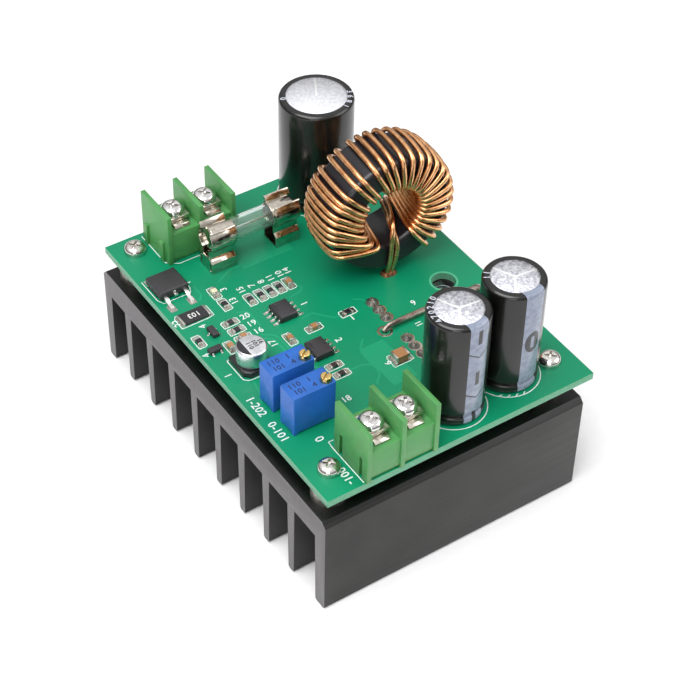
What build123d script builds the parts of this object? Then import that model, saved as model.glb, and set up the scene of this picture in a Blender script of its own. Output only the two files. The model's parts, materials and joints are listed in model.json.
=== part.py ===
from build123d import *
from math import cos, pi, radians, sin
import os

# A step-up converter module: a finned heatsink, a circuit board on four standoffs above it,
# two power devices lying flat on the metal under the board, and the tall parts on top.
# Millimetres, +Z up. The board lies lengthwise along Y, with the output edge at the front (-Y).
# Inside the functions x and y are measured from the board's front left corner, and z from its
# upper face. The origin of the written parts is the middle of the footprint on the resting plane.

# Board
board_width = 62.7
board_length = 85.0
board_thickness = 1.6
solder_gap = 0.1
square_pin_fit = 0.71
access_hole_radius = 2.5

# Heatsink
sink_width = 61.5
sink_length = 86.0
sink_height = 24.5
sink_base = 6.0
sink_left_lip = 0.35
sink_setback = 0.1
sink_edge_bevel = 1.1
fin_count = 10
fin_pitch = 9.16
fin_first_centre = 9.9
fin_root = 2.5
fin_tip = 1.9
fin_front_thickness = 3.5
fin_rear_thickness = 2.9
fin_corner = 0.45

# Standoffs and board screws
standoff_height = 5.0
standoff_radius = 3.5
mounting_holes = ((4.6, 6.6), (4.7, 80.5), (57.3, 7.2), (57.7, 80.3))
board_screw_radius = 1.25
board_screw_head_radius = 2.3
board_screw_head_height = 1.9
board_screw_bite = 4.5

# Screw heads: shares of the head's own radius and height
head_rim = 0.45
head_flat = 0.45
head_shoulder = (0.82, 0.84)
recess_arm = 0.55
recess_width = 0.2
recess_depth = 0.55

# Power devices
device_holes = ((53.7, 38.0), (53.7, 25.4))
device_width = 10.2
tab_thickness = 1.3
tab_end = 2.9
tab_grip = 1.0
tab_corner = 0.8
tab_hole_radius = 1.9
body_near = 3.5
body_length = 9.2
body_height = 4.5
body_bevel = 0.5
lead_pitch = 2.6
lead_width = 0.8
lead_thickness = 0.5
lead_level = 2.5
lead_reach = 3.6
lead_grip = 2.0
lead_stub = 1.2
pad_thickness = 0.2
pad_margin = 1.2
tab_screw_radius = 1.45
thread_clear = 0.03
tab_screw_head_radius = 2.6
tab_screw_head_height = 1.8
tab_screw_bite = 4.5
bush_flange = 0.6
bush_flange_radius = 2.9

# Choke: angles are seen from the front, from the top of the ring, positive towards the left
choke_x = 46.06
choke_y = 51.25
choke_turned = -4.6
choke_clear = 0.3
core_outer_radius = 13.45
core_inner_radius = 7.25
core_width = 11.1
core_corner = 1.2
wire_radius = 0.5
rim_gap = 0.8
face_gap = 0.2
eye_gap = 0.15
rim_bend = 1.64
eye_bend = 1.05
right_turns = 8
right_rim_start = -137.8
right_rim_step = 19.4
right_eye_start = -136.3
right_eye_step = 17.8
right_spreads = (9.6, 8.9)
top_turn = (14.5, 6.9)
top_spreads = (8.4, 9.4)
left_turns = ((35.7, 34.0), (54.4, 60.9), (67.0, 80.2), (79.5, 101.0), (94.0, 123.4), (111.5, 143.6))
left_spreads = (7.4, 10.2)
riding_turns = 3
riding_lift = 0.9
eye_slant = 15.0
lead_eye = -140.3
lead_low = (0.4, -6.9, 6.3)
lead_low_spread = 1.7
lead_cross = (-0.1, -2.5, 5.5)
lead_cross_spread = 1.24
lead_mid = (2.2, -3.1, 0.0)
lead_mid_spread = (0.5, 1.1)
lead_straight = 0.9
lead_bow = 3.4
lead_bow_reach = 6.4
wire_tail = 0.8
choke_front_pad = -0.1
choke_rear_pad = -2.9
choke_pad_reach = 5.0
choke_pad_spread = 1.1
choke_solder_radius = 1.3
choke_solder_tip = 0.85
choke_solder_height = 0.7

# Capacitors
input_can_place = (47.2, 76.5)
input_can_radius = 8.0
input_can_height = 26.0
output_can_places = ((34.1, 8.2), (48.1, 9.6))
output_can_radius = 6.3
output_can_height = 25.3
sleeve_wall = 0.2
sleeve_curl = 1.3
can_groove_height = 2.6
can_groove_depth = 0.5
can_groove_half = 0.7
can_floor = 0.3
can_bottom_bevel = 0.5
can_top_round = 0.8
can_lead_radius = 0.4
input_lead_pitch = 7.5
output_lead_pitch = 5.0

# Terminal blocks
terminal_poles = 2
terminal_left = 8.5
output_terminal_front = -0.3
input_terminal_front = 72.6
terminal_pitch = 7.62
terminal_wall = 1.0
terminal_depth = 11.0
terminal_height = 12.4
terminal_block_top = 7.4
terminal_block_inset = 0.4
terminal_foot_height = 0.8
terminal_foot_inset = 0.3
rib_width = 1.2
rib_depth = 0.6
rib_inset = 1.6
rib_height = 5.2
rib_taper = 0.2
rib_slack = 0.1
contact_thickness = 0.8
contact_width = 3.4
contact_lip = 1.0
contact_end_bevel = (0.4, 0.56)
contact_pin = 1.0
contact_pin_back = 7.92
contact_pin_stub = 1.0
contact_pin_clear = 0.05
clamp_side = 5.2
clamp_thickness = 0.8
clamp_lip = 0.5
clamp_lip_width = 0.5
clamp_lip_inset = 0.6
clamp_clear = 0.05
terminal_screw_radius = 1.5
terminal_screw_head_radius = 2.5
terminal_screw_head_height = 1.7
terminal_screw_length = 6.0
screw_running = 0.05
screw_well_clear = 0.35
screw_end_clear = 0.6

# Fuse
fuse_middle = (25.2, 67.9)
fuse_axis_height = 7.6
fuse_length = 20.0
fuse_cap_radius = 2.6
fuse_cap_length = 5.6
fuse_cap_wall = 0.4
fuse_cap_bevel = 0.3
fuse_glass_radius = 2.45
fuse_glass_wall = 0.5
fuse_element_radius = 0.15
clip_spacing = 15.6
clip_length = 5.8
clip_metal = 0.4
clip_waist = 3.0
clip_foot = 5.0
clip_foot_height = 2.6
clip_knee_rise = 0.8
clip_knee_step = 0.2
clip_mouth = 3.4
clip_jaw_end = 2.08
clip_jaw_gap = 5.4
clip_lip_step = 0.1
clip_lip_rise = 0.25
clip_lip_flare = (0.5, 0.9)
clip_pin = 0.9
clip_stop_width = 3.4
clip_stop_height = 3.4

# Adjusters
trimmer_left = 3.75
trimmer_fronts = (17.4, 24.8)
trimmer_length = 9.53
trimmer_width = 4.83
trimmer_top = 9.6
trimmer_foot = 0.4
trimmer_foot_size = 1.0
trimmer_edge = 0.15
trimmer_screw_inset = 1.4
trimmer_screw_radius = 1.12
trimmer_screw_proud = 1.2
trimmer_screw_depth = 3.0
trimmer_slot_width = 0.45
trimmer_slot_depth = 0.6
trimmer_slot_turn = 35
trimmer_pin_pitch = 2.54
trimmer_pin_radius = 0.25

# Small surface parts: places are the middle of each part on the board
small_can_place = (7.3, 38.3)
small_can_radius = 3.15
small_can_height = 5.4
small_can_base = 6.6
small_can_base_height = 1.3
small_can_base_corner = 1.2
small_can_neck = (0.4, 0.3, 0.6)
small_can_top_bevel = 0.3
small_can_tab = (0.8, 0.1)
small_can_tab_out = 0.5
small_can_tab_gap = 1.0
chip_places = ((20.5, 47.5), (20.5, 34.3))
chip_length = 4.9
chip_width = 3.9
chip_height = 1.5
chip_bevel = 0.25
chip_mark = (0.9, 0.35, 0.08)
chip_leads_per_side = 4
chip_lead_pitch = 1.27
chip_lead_reach = 1.05
chip_lead_width = 0.42
chip_lead_thickness = 0.25
chip_lead_level = 0.8
chip_standoff = 0.15
gull_bends = (0.22, 0.35, 0.45, 0.6)
regulator_place = (4.6, 66.8)
regulator_width = 6.6
regulator_length = 6.1
regulator_height = 2.3
regulator_bevel = 0.3
regulator_tab_width = 5.28
regulator_tab_thickness = 0.5
regulator_tab_inner = 0.8
regulator_tab_reach = 1.0
regulator_lead_pitch = 4.57
regulator_lead_width = 0.8
regulator_lead_reach = 3.2
regulator_lead_level = 1.3
regulator_cut_lead = 0.8
transistor_places = ((5.5, 50.1, 90), (3.2, 45.4, 0))
transistor_length = 2.9
transistor_width = 1.4
transistor_height = 1.0
transistor_bevel = 0.15
transistor_standoff = 0.1
transistor_feet = ((-0.95, -1), (0.95, -1), (0.0, 1))
transistor_foot = (0.6, 0.4, 0.15, 0.6)
resistor_size = (2.0, 1.25, 0.5)
resistors_across = ((10.0, 50.9), (10.0, 48.4), (31.7, 40.8), (20.8, 29.3), (20.8, 26.6))
resistors_along = ((11.9, 56.2), (17.1, 54.7), (19.6, 54.7), (21.9, 54.7), (24.1, 54.7), (1.9, 49.5))
capacitor_size = (2.0, 1.25, 0.9)
capacitors_across = ((10.0, 45.8), (23.4, 40.6))
capacitors_along = ((26.4, 54.7), (6.4, 44.8), (17.6, 40.4))
big_chip_capacitor = (33.0, 24.1)
big_chip_size = (3.2, 2.5, 1.6)
power_resistor_place = (4.8, 56.5)
power_resistor_size = (6.35, 3.2, 0.6)
lamp_place = (11.9, 60.3)
end_cap = 0.42
end_cap_skin = 0.03
jumper_start = (34.9, 32.1)
jumper_end_x = 58.3
jumper_radius = 0.6
jumper_rise = 1.0
jumper_crown = 1.2
jumper_foot = 0.3
jumper_bends = (0.9, 2.6)
solder_radius = 1.15
solder_tip_radius = 0.6
solder_height = 0.9

# Making: the sides of a modelled wire, and how far a cutting shape runs past the surface that it cuts
wire_sides = 8
overrun = 1.0

# Values worked out from the sizes above
board_left = (sink_left_lip - board_width) / 2
board_front = -(sink_length + sink_setback) / 2
board_top = sink_height + standoff_height + board_thickness
sink_top = -board_thickness - standoff_height
board_back = -board_thickness
device_base = sink_top + pad_thickness
lead_row = body_near + body_length + lead_reach
wind_outer = core_outer_radius + rim_gap + wire_radius
wind_inner = core_inner_radius - eye_gap - wire_radius
wind_half = core_width / 2 + face_gap + wire_radius
choke_z = wind_outer + wire_radius + choke_clear
clamp_bottom = terminal_block_top + contact_thickness
clamp_top = clamp_bottom + clamp_thickness
terminal_width = 2 * terminal_pitch + terminal_wall


def bar(low, high):
    # a block between two corners
    size = [b - a for a, b in zip(low, high)]
    return Pos(*low) * Box(*size, align=(Align.MIN, Align.MIN, Align.MIN))


def rod(x, y, low, high, radius):
    # an upright round bar
    return Pos(x, y, low) * Cylinder(radius, high - low, align=(Align.CENTER, Align.CENTER, Align.MIN))


def lathe(profile):
    # a turned shape from points (radius, height), spun about Z
    section = Plane.XZ * make_face(Polyline(*profile, close=True))
    return revolve(section, Axis.Z)


def group(shapes):
    # several separate solids kept together in one node
    return Compound([solid for shape in shapes for solid in shape.solids()])


def write(name, shape):
    placing = Location((board_left, board_front, board_top))
    solids = [placing * solid for solid in shape.solids()]
    export_step(Compound(solids), os.path.join("parts", name + ".step"))


def pan_head(x, y, seat, radius, height, shank_radius, shank_length):
    # a domed screw head over its plain shank, with a cross recess
    rim = head_rim * height
    top = head_flat * radius
    shoulder = (head_shoulder[0] * radius, head_shoulder[1] * height)
    shank = Polyline((top, height), (0, height), (0, -shank_length), (shank_radius, -shank_length),
                     (shank_radius, 0), (radius, 0), (radius, rim))
    dome = ThreePointArc((radius, rim), shoulder, (top, height))
    screw = revolve(Plane.XZ * make_face(shank + dome), Axis.Z)
    for angle in (45, 135):
        slot = Box(2 * recess_arm * radius, recess_width * radius, 2 * recess_depth * height)
        screw -= Rot(0, 0, angle) * Pos(0, 0, height) * slot
    return Pos(x, y, seat) * screw


# Heatsink

def fin_centres():
    # inner fins at one pitch, counted from the rear edge, as distances from the front edge
    return [sink_length - fin_first_centre - k * fin_pitch for k in range(fin_count - 2)]


def sink_profile():
    # the section of the extrusion, y from its front edge and z from its top face
    base = make_face(Polyline(
        (sink_edge_bevel, 0), (0, -sink_edge_bevel), (0, -sink_base), (sink_length, -sink_base),
        (sink_length, -sink_edge_bevel), (sink_length - sink_edge_bevel, 0), close=True,
    ))
    profile = base
    for middle in fin_centres():
        profile += fin_section(middle - fin_root / 2, middle + fin_root / 2,
                               middle - fin_tip / 2, middle + fin_tip / 2)
    taper = (fin_root - fin_tip) / 2
    profile += fin_section(0, fin_front_thickness, 0, fin_front_thickness - taper)
    profile += fin_section(sink_length - fin_rear_thickness, sink_length,
                           sink_length - fin_rear_thickness + taper, sink_length)
    return profile


def fin_section(root_low, root_high, tip_low, tip_high):
    # one fin with its tip corners eased, leaving a flat between them
    bottom = -sink_height
    return make_face(Polyline(
        (root_low, -sink_base), (tip_low, bottom + fin_corner), (tip_low + fin_corner, bottom),
        (tip_high - fin_corner, bottom), (tip_high, bottom + fin_corner), (root_high, -sink_base),
        close=True,
    ))


def heatsink():
    section = Plane.YZ * sink_profile()
    body = extrude(section, sink_width)
    body = Pos(-sink_left_lip, sink_setback, sink_top) * body
    top = sink_top + overrun
    for x, y in mounting_holes:
        body -= rod(x, y, sink_top - board_screw_bite, top, board_screw_radius + thread_clear)
    for x, y in device_holes:
        body -= rod(x, y, sink_top - tab_screw_bite, top, tab_screw_radius + thread_clear)
    return body


def standoffs():
    posts = []
    for x, y in mounting_holes:
        post = rod(x, y, sink_top, board_back, standoff_radius)
        post -= rod(x, y, sink_top - overrun, board_back + overrun, board_screw_radius + solder_gap)
        posts.append(post)
    return group(posts)


def board_screws():
    length = board_thickness + standoff_height + board_screw_bite
    return group([
        pan_head(x, y, 0, board_screw_head_radius, board_screw_head_height, board_screw_radius, length)
        for x, y in mounting_holes
    ])


# Circuit board

def device_leads_at(x, y):
    # the three places where a power device's leads come through the board
    return [(x - lead_row, y + k * lead_pitch) for k in (-1, 0, 1)]


def terminal_pins_at():
    # the pin of each terminal contact, on the side away from the wire entry
    places = []
    for pole in range(terminal_poles):
        x = terminal_left + pole_middle(pole)
        places.append((x, output_terminal_front + contact_pin_back))
        places.append((x, input_terminal_front + terminal_depth - contact_pin_back))
    return places


def pole_middle(pole):
    # from the block's left side to the middle of one pole
    return terminal_wall + (terminal_pitch - terminal_wall) / 2 + pole * terminal_pitch


def can_leads_at():
    x, y = input_can_place
    places = [(x - input_lead_pitch / 2, y), (x + input_lead_pitch / 2, y)]
    for x, y in output_can_places:
        places += [(x - output_lead_pitch / 2, y), (x + output_lead_pitch / 2, y)]
    return places


def clip_places():
    x, y = fuse_middle
    return [(x - clip_spacing / 2, y), (x + clip_spacing / 2, y)]


def trimmer_pins_at(front):
    middle = trimmer_left + trimmer_length / 2
    return [(middle + k * trimmer_pin_pitch, front + trimmer_width / 2) for k in (-1, 0, 1)]


def choke_pads_at():
    # two strands side by side at the front of the choke, and two behind it
    places = []
    for middle, reach in ((choke_front_pad, -choke_pad_reach), (choke_rear_pad, choke_pad_reach)):
        for strand in (-1, 1):
            places.append(turned(middle + strand * choke_pad_spread / 2, reach))
    return places


def turned(x, y):
    # a point beside the choke, turned with it about its middle
    a = radians(choke_turned)
    return (choke_x + x * cos(a) - y * sin(a), choke_y + x * sin(a) + y * cos(a))


def circuit_board():
    board = bar((0, 0, board_back), (board_width, board_length, 0))
    holes = [(x, y, board_screw_radius + solder_gap) for x, y in mounting_holes]
    holes += [(x, y, access_hole_radius) for x, y in device_holes]
    for place in device_holes:
        holes += [(x, y, lead_width / 2 + solder_gap) for x, y in device_leads_at(*place)]
    holes += [(x, y, contact_pin * square_pin_fit + solder_gap) for x, y in terminal_pins_at()]
    holes += [(x, y, can_lead_radius + solder_gap) for x, y in can_leads_at()]
    holes += [(x, y, clip_pin * square_pin_fit + solder_gap) for x, y in clip_places()]
    for front in trimmer_fronts:
        holes += [(x, y, trimmer_pin_radius + solder_gap) for x, y in trimmer_pins_at(front)]
    holes += [(x, y, wire_radius + solder_gap) for x, y in choke_pads_at()]
    holes += [(x, jumper_start[1], jumper_radius + solder_gap) for x in (jumper_start[0], jumper_end_x)]
    for x, y, radius in holes:
        board -= rod(x, y, board_back - overrun, overrun, radius)
    return board


# Power devices: each lies on an insulating pad, its leads bent up through the board

def device_tab(x, y):
    half = device_width / 2
    rear = x - body_near - body_length + tab_grip
    tab = bar((rear, y - half, device_base), (x + tab_end, y + half, device_base + tab_thickness))
    tab -= rod(x, y, device_base - overrun, device_base + tab_thickness + overrun, tab_hole_radius)
    return chamfer(tab.edges().filter_by(Axis.Z).sort_by(Axis.X)[-2:], tab_corner)


def device_body(x, y):
    half = device_width / 2
    low = device_base
    near = x - body_near
    far = near - body_length
    block = bar((far, y - half, low), (near, y + half, low + body_height))
    top = block.faces().sort_by(Axis.Z)[-1]
    block = chamfer(top.edges(), body_bevel)
    block -= device_tab(x, y)
    for place in device_leads_at(x, y):
        block -= lead_run(x, place[1])
    return block


def lead_run(x, y):
    # the flat stretch of a lead, from inside the body to its bend
    level = device_base + lead_level
    inner = x - body_near - body_length + lead_grip
    return bar((x - lead_row - lead_thickness / 2, y - lead_width / 2, level),
               (inner, y + lead_width / 2, level + lead_thickness))


def device_leads(x, y):
    leads = []
    for a, b in device_leads_at(x, y):
        level = device_base + lead_level
        rise = bar((a - lead_thickness / 2, b - lead_width / 2, level),
                   (a + lead_thickness / 2, b + lead_width / 2, lead_stub))
        leads.append(lead_run(x, b) + rise)
    return group(leads)


def insulating_pads():
    pads = []
    for x, y in device_holes:
        low = (x - body_near - body_length - pad_margin, y - device_width / 2 - pad_margin, sink_top)
        high = (x + tab_end + pad_margin, y + device_width / 2 + pad_margin, sink_top + pad_thickness)
        pads.append(bar(low, high) - rod(x, y, sink_top - overrun, sink_top + overrun, tab_hole_radius))
    return group(pads)


def tab_bushes():
    # a shouldered bush keeps each screw off the live tab
    bushes = []
    top = device_base + tab_thickness
    for x, y in device_holes:
        bush = rod(x, y, top, top + bush_flange, bush_flange_radius)
        bush += rod(x, y, device_base, top, tab_hole_radius)
        bushes.append(bush - rod(x, y, sink_top - overrun, top + bush_flange + overrun, tab_screw_radius))
    return group(bushes)


def tab_screws():
    seat = device_base + tab_thickness + bush_flange
    length = seat - sink_top + tab_screw_bite
    return group([
        pan_head(x, y, seat, tab_screw_head_radius, tab_screw_head_height, tab_screw_radius, length)
        for x, y in device_holes
    ])


# Choke: a coated ring standing on its rim, wound with two strands side by side

def choke_frame(shape):
    # the ring is made about Z, then stood up with its axis level
    return Pos(choke_x, choke_y, choke_z) * Rot(0, 0, choke_turned) * Rot(90, 0, 0) * shape


def choke_core():
    section = Plane.XZ * Pos((core_outer_radius + core_inner_radius) / 2, 0) * RectangleRounded(
        core_outer_radius - core_inner_radius, core_width, core_corner)
    return choke_frame(revolve(section, Axis.Z))


def ring_point(angle, radius, depth):
    # angle from the top of the standing ring, positive towards the board's left edge
    a = radians(angle + 90)
    return Vector(radius * cos(a), radius * sin(a), depth)


def turns():
    # rim angle, eye angle and their spreads for each pair, from lower right over the top to lower left
    pairs = []
    for k in range(right_turns):
        rim = right_rim_start + k * right_rim_step
        eye = right_eye_start + k * right_eye_step
        pairs.append((rim, eye, *right_spreads))
    pairs.append((*top_turn, *top_spreads))
    pairs += [(rim, eye, *left_spreads) for rim, eye in left_turns]
    return pairs


def front_lead(side):
    # from the front pad up into the eye, where the two strands cross, and on towards the back of the eye
    tail = board_back - wire_tail - choke_z
    pad = choke_front_pad - side * choke_pad_spread
    x, y, z = lead_low
    cross_x, cross_y, cross_z = lead_cross
    mid_x, mid_y, mid_z = lead_mid
    return [
        Vector(pad, tail, choke_pad_reach),
        Vector(pad, lead_straight - choke_z, choke_pad_reach),
        Vector(pad, lead_bow - choke_z, lead_bow_reach),
        Vector(x - side * lead_low_spread, y, z),
        Vector(cross_x, cross_y + side * lead_cross_spread, cross_z + side * lead_cross_spread),
        Vector(mid_x + side * lead_mid_spread[0], mid_y + side * lead_mid_spread[1], mid_z),
    ]


def rear_lead(side):
    # straight down behind the core to the rear pad
    tail = board_back - wire_tail - choke_z
    pad = choke_rear_pad + side * choke_pad_spread
    return [
        Vector(pad, lead_bow - choke_z, -lead_bow_reach),
        Vector(pad, lead_straight - choke_z, -choke_pad_reach),
        Vector(pad, tail, -choke_pad_reach),
    ]


def eye_end(angle, lift):
    # round the edge of the eye at the front; turned over and taken backwards it serves the back
    return [
        ring_point(angle, wind_inner + eye_bend, wind_half + lift),
        ring_point(angle, wind_inner, wind_half + lift - eye_bend),
    ]


def into_back(angle, lift):
    return [Vector(p.X, p.Y, -p.Z) for p in reversed(eye_end(angle, lift))]


def strand_points(side):
    # the centre line of one strand; side is -0.5 or 0.5, its place beside the middle of the pair
    points = front_lead(side)
    back = lead_eye + side * right_spreads[1]
    lift = 0
    pairs = turns()
    for k, (rim, eye, rim_spread, eye_spread) in enumerate(pairs):
        rim += side * rim_spread
        eye += side * eye_spread
        points += into_back(back, lift) + [
            ring_point(rim, wind_outer - rim_bend, -wind_half),
            ring_point(rim, wind_outer, rim_bend - wind_half),
            ring_point(rim, wind_outer, wind_half - rim_bend),
            ring_point(rim, wind_outer - rim_bend, wind_half),
        ]
        # in the crowded last turns one strand rides over the other at the edge of the eye
        rides = side > 0 and k >= len(pairs) - riding_turns
        lift = riding_lift if rides else 0
        points += eye_end(eye, lift)
        back = eye + eye_slant
    return points + into_back(back, lift) + rear_lead(side)


def wire(points, radius):
    # a many-sided wire along straight runs, mitred where two runs meet
    dirs = [(b - a).normalized() for a, b in zip(points, points[1:])]
    across = dirs[0].cross(Vector(0.31, 0.17, 0.93)).normalized()
    other = dirs[0].cross(across)
    corners = [2 * pi * j / wire_sides for j in range(wire_sides)]
    ring = [points[0] + across * (radius * cos(a)) + other * (radius * sin(a)) for a in corners]
    rings = [ring]
    for k, along in enumerate(dirs):
        mitre = (along + dirs[k + 1]).normalized() if k + 1 < len(dirs) else along
        ring = [p + along * ((points[k + 1] - p).dot(mitre) / along.dot(mitre)) for p in ring]
        rings.append(ring)
    faces = [Face(Wire.make_polygon(rings[0])), Face(Wire.make_polygon(rings[-1]))]
    for a, b in zip(rings, rings[1:]):
        for j in range(wire_sides):
            n = (j + 1) % wire_sides
            faces.append(Face(Wire.make_polygon([a[j], a[n], b[n], b[j]])))
    return Solid(Shell(faces))


def choke_winding():
    return choke_frame(group([wire(strand_points(side), wire_radius) for side in (-0.5, 0.5)]))


# Can capacitors

def can_profile(radius, height, skin):
    # half section of a can with its crimp groove and eased top edge, grown outwards by the skin
    r = radius + skin
    groove = r - can_groove_depth
    return [
        (0, can_floor), (r - can_bottom_bevel, can_floor), (r, can_floor + can_bottom_bevel),
        (r, can_groove_height - can_groove_half), (groove, can_groove_height),
        (r, can_groove_height + can_groove_half), (r, height - can_top_round),
        (r - can_top_round, height + skin), (0, height + skin),
    ]


def can(x, y, radius, height):
    return Pos(x, y, 0) * lathe(can_profile(radius - sleeve_wall, height - sleeve_wall, 0))


def sleeve(x, y, radius, height):
    # a shrunk sleeve, open below and curled over the rim of the can
    metal = radius - sleeve_wall
    outer = lathe(can_profile(metal, height - sleeve_wall, sleeve_wall))
    outer -= lathe(can_profile(metal, height - sleeve_wall, 0))
    outer -= rod(0, 0, -overrun, height + overrun, metal - sleeve_curl)
    return Pos(x, y, 0) * outer


def can_leads():
    leads = []
    for x, y in can_leads_at():
        leads.append(rod(x, y, board_back - lead_stub, can_floor, can_lead_radius))
    return group(leads)


# Terminal blocks: made for the front edge, and turned round for the rear one

def terminal_housing():
    # a corner at the origin, wire entry facing -Y
    width = terminal_width
    inset = terminal_block_inset
    foot = inset + terminal_foot_inset
    housing = bar((0, foot, 0), (width, terminal_depth - foot, terminal_foot_height))
    housing += bar((0, inset, terminal_foot_height), (width, terminal_depth - inset, terminal_block_top))
    for wall in range(terminal_poles + 1):
        left = wall * terminal_pitch
        housing += bar((left, 0, 0), (left + terminal_wall, terminal_depth, terminal_height))
    well = terminal_screw_radius + screw_well_clear
    well_depth = terminal_screw_length - contact_thickness - clamp_thickness + screw_end_clear
    pin = contact_pin / 2 + contact_pin_clear
    for pole in range(terminal_poles):
        x = pole_middle(pole)
        housing -= rod(x, terminal_depth / 2, terminal_block_top - well_depth, terminal_height, well)
        housing -= bar((x - pin, contact_pin_back - pin, -overrun),
                       (x + pin, contact_pin_back + pin, terminal_block_top + overrun))
    for y in (rib_inset, terminal_depth - rib_inset - rib_width):
        housing += rib(width, y, rib_depth, 0)
        housing -= rib(0, y, rib_depth, rib_slack)
    return housing


def rib(x, y, depth, slack):
    # a dovetail rib standing out of a side wall; with slack it cuts the matching slot
    section = make_face(Polyline(
        (x, y + rib_taper - slack), (x + depth + slack, y - slack),
        (x + depth + slack, y + rib_width + slack), (x, y + rib_width - rib_taper + slack), close=True,
    ))
    return extrude(section, rib_height + slack)


def contact_strip(middle):
    # a flat strip across the block, its two ends turned down a little, one square pin through the board
    half = contact_width / 2
    low = terminal_block_top
    inset = terminal_block_inset + contact_lip
    top = low + contact_thickness
    strip = bar((middle - half, inset, low), (middle + half, terminal_depth - inset, top))
    for end in (0, -1):
        edge = strip.faces().sort_by(Axis.Y)[end].edges().sort_by(Axis.Z)[-1]
        strip = chamfer(edge, *contact_end_bevel)
    pin = contact_pin / 2
    y = contact_pin_back
    strip += bar((middle - pin, y - pin, board_back - contact_pin_stub), (middle + pin, y + pin, low))
    return strip - rod(middle, terminal_depth / 2, low - overrun, top + overrun,
                       terminal_screw_radius + screw_running)


def clamp_plate(middle):
    # a square plate with its two side edges turned down to hold the wire
    half = clamp_side / 2
    y = terminal_depth / 2
    low = clamp_bottom + clamp_clear
    plate = bar((middle - half, y - half, low), (middle + half, y + half, low + clamp_thickness))
    lip = clamp_lip_width / 2
    reach = half - clamp_lip_inset
    for side in (-1, 1):
        x = middle + side * (half - lip)
        plate += bar((x - lip, y - reach, low - clamp_lip), (x + lip, y + reach, low))
    return plate - rod(middle, y, low - overrun, low + clamp_thickness + overrun,
                       terminal_screw_radius + screw_running)


def terminal_screw(middle):
    seat = clamp_top + 2 * clamp_clear
    return pan_head(middle, terminal_depth / 2, seat, terminal_screw_head_radius,
                    terminal_screw_head_height, terminal_screw_radius, terminal_screw_length)


def at_output(shape):
    return Pos(terminal_left, output_terminal_front, 0) * shape


def at_input(shape):
    right = terminal_left + terminal_width
    rear = input_terminal_front + terminal_depth
    return Pos(right, rear, 0) * Rot(0, 0, 180) * shape


# Fuse and its clips

def along_x(shape, x):
    # something turned about Z, laid along X at the fuse's axis
    return Pos(x, fuse_middle[1], fuse_axis_height) * Rot(0, 90, 0) * shape


def fuse_tube():
    length = fuse_length - 2 * fuse_cap_wall
    tube = Cylinder(fuse_glass_radius, length)
    tube -= Cylinder(fuse_glass_radius - fuse_glass_wall, length + overrun)
    return along_x(tube, fuse_middle[0])


def fuse_caps():
    caps = []
    for side in (-1, 1):
        cap = Cylinder(fuse_cap_radius, fuse_cap_length)
        cap = chamfer(cap.edges().sort_by(Axis.Z)[-1], fuse_cap_bevel)
        cap -= Pos(0, 0, -fuse_cap_wall) * Cylinder(fuse_glass_radius, fuse_cap_length)
        place = fuse_middle[0] + side * (fuse_length - fuse_cap_length) / 2
        caps.append(Pos(place, fuse_middle[1], fuse_axis_height) * Rot(0, 90 * side, 0) * cap)
    return group(caps)


def fuse_element():
    return along_x(Cylinder(fuse_element_radius, fuse_length - 2 * fuse_cap_wall), fuse_middle[0])


def clip_section():
    # the folded spring strip seen along the fuse: foot, waist, two curved jaws and an open mouth
    outer = fuse_cap_radius + clip_metal
    section = Circle(outer) - Circle(fuse_cap_radius)
    mouth = clip_mouth / 2
    section -= Pos(0, outer) * Rectangle(clip_mouth, 2 * outer)
    section -= Pos(0, -outer) * Rectangle(clip_waist - 2 * clip_metal, clip_jaw_gap)
    low = -fuse_axis_height
    floor = low + clip_metal
    knee = low + clip_foot_height
    half = clip_foot / 2
    waist = clip_waist / 2
    inner_flare, outer_flare = clip_lip_flare
    for side in (-1, 1):
        section += make_face(Polyline(
            (side * mouth, clip_jaw_end), (side * (mouth - clip_metal), clip_jaw_end + clip_lip_step),
            (side * (mouth + inner_flare), outer + clip_lip_rise), (side * (mouth + outer_flare), outer),
            close=True,
        ))
        section += make_face(Polyline(
            (side * half, low), (side * half, knee), (side * waist, knee + clip_knee_rise),
            (side * waist, -clip_jaw_end), (side * (waist - clip_metal), -clip_jaw_end),
            (side * (waist - clip_metal), knee + clip_knee_rise - clip_knee_step),
            (side * (half - clip_metal), knee - clip_knee_step), (side * (half - clip_metal), floor),
            (0, floor), (0, low), close=True,
        ))
    return section


def fuse_clips():
    clips = []
    for side, (x, y) in zip((-1, 1), clip_places()):
        jaw = extrude(Plane.YZ * clip_section(), clip_length)
        body = Pos(x - clip_length / 2, y, fuse_axis_height) * jaw
        body -= along_x(Cylinder(fuse_cap_radius, clip_length + 2 * overrun), x)
        pin = clip_pin / 2
        body += bar((x - pin, y - pin, board_back - lead_stub), (x + pin, y + pin, clip_metal / 2))
        stop = x + side * (clip_length - clip_metal) / 2
        body += Pos(stop, y, clip_stop_height / 2) * Box(clip_metal, clip_stop_width, clip_stop_height)
        clips.append(body)
    return group(clips)


# Adjusters

def trimmer_body(front):
    left = trimmer_left
    body = bar((left, front, trimmer_foot), (left + trimmer_length, front + trimmer_width, trimmer_top))
    body = chamfer(body.edges().filter_by(Axis.Z), trimmer_edge)
    size = trimmer_foot_size
    for x in (left, left + trimmer_length - size):
        for y in (front, front + trimmer_width - size):
            body += bar((x, y, 0), (x + size, y + size, trimmer_foot))
    x, y = trimmer_screw_place(front)
    body -= rod(x, y, trimmer_top - trimmer_screw_depth, trimmer_top + overrun,
                trimmer_screw_radius + screw_running)
    return body


def trimmer_screw_place(front):
    return trimmer_left + trimmer_length - trimmer_screw_inset, front + trimmer_screw_inset


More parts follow.
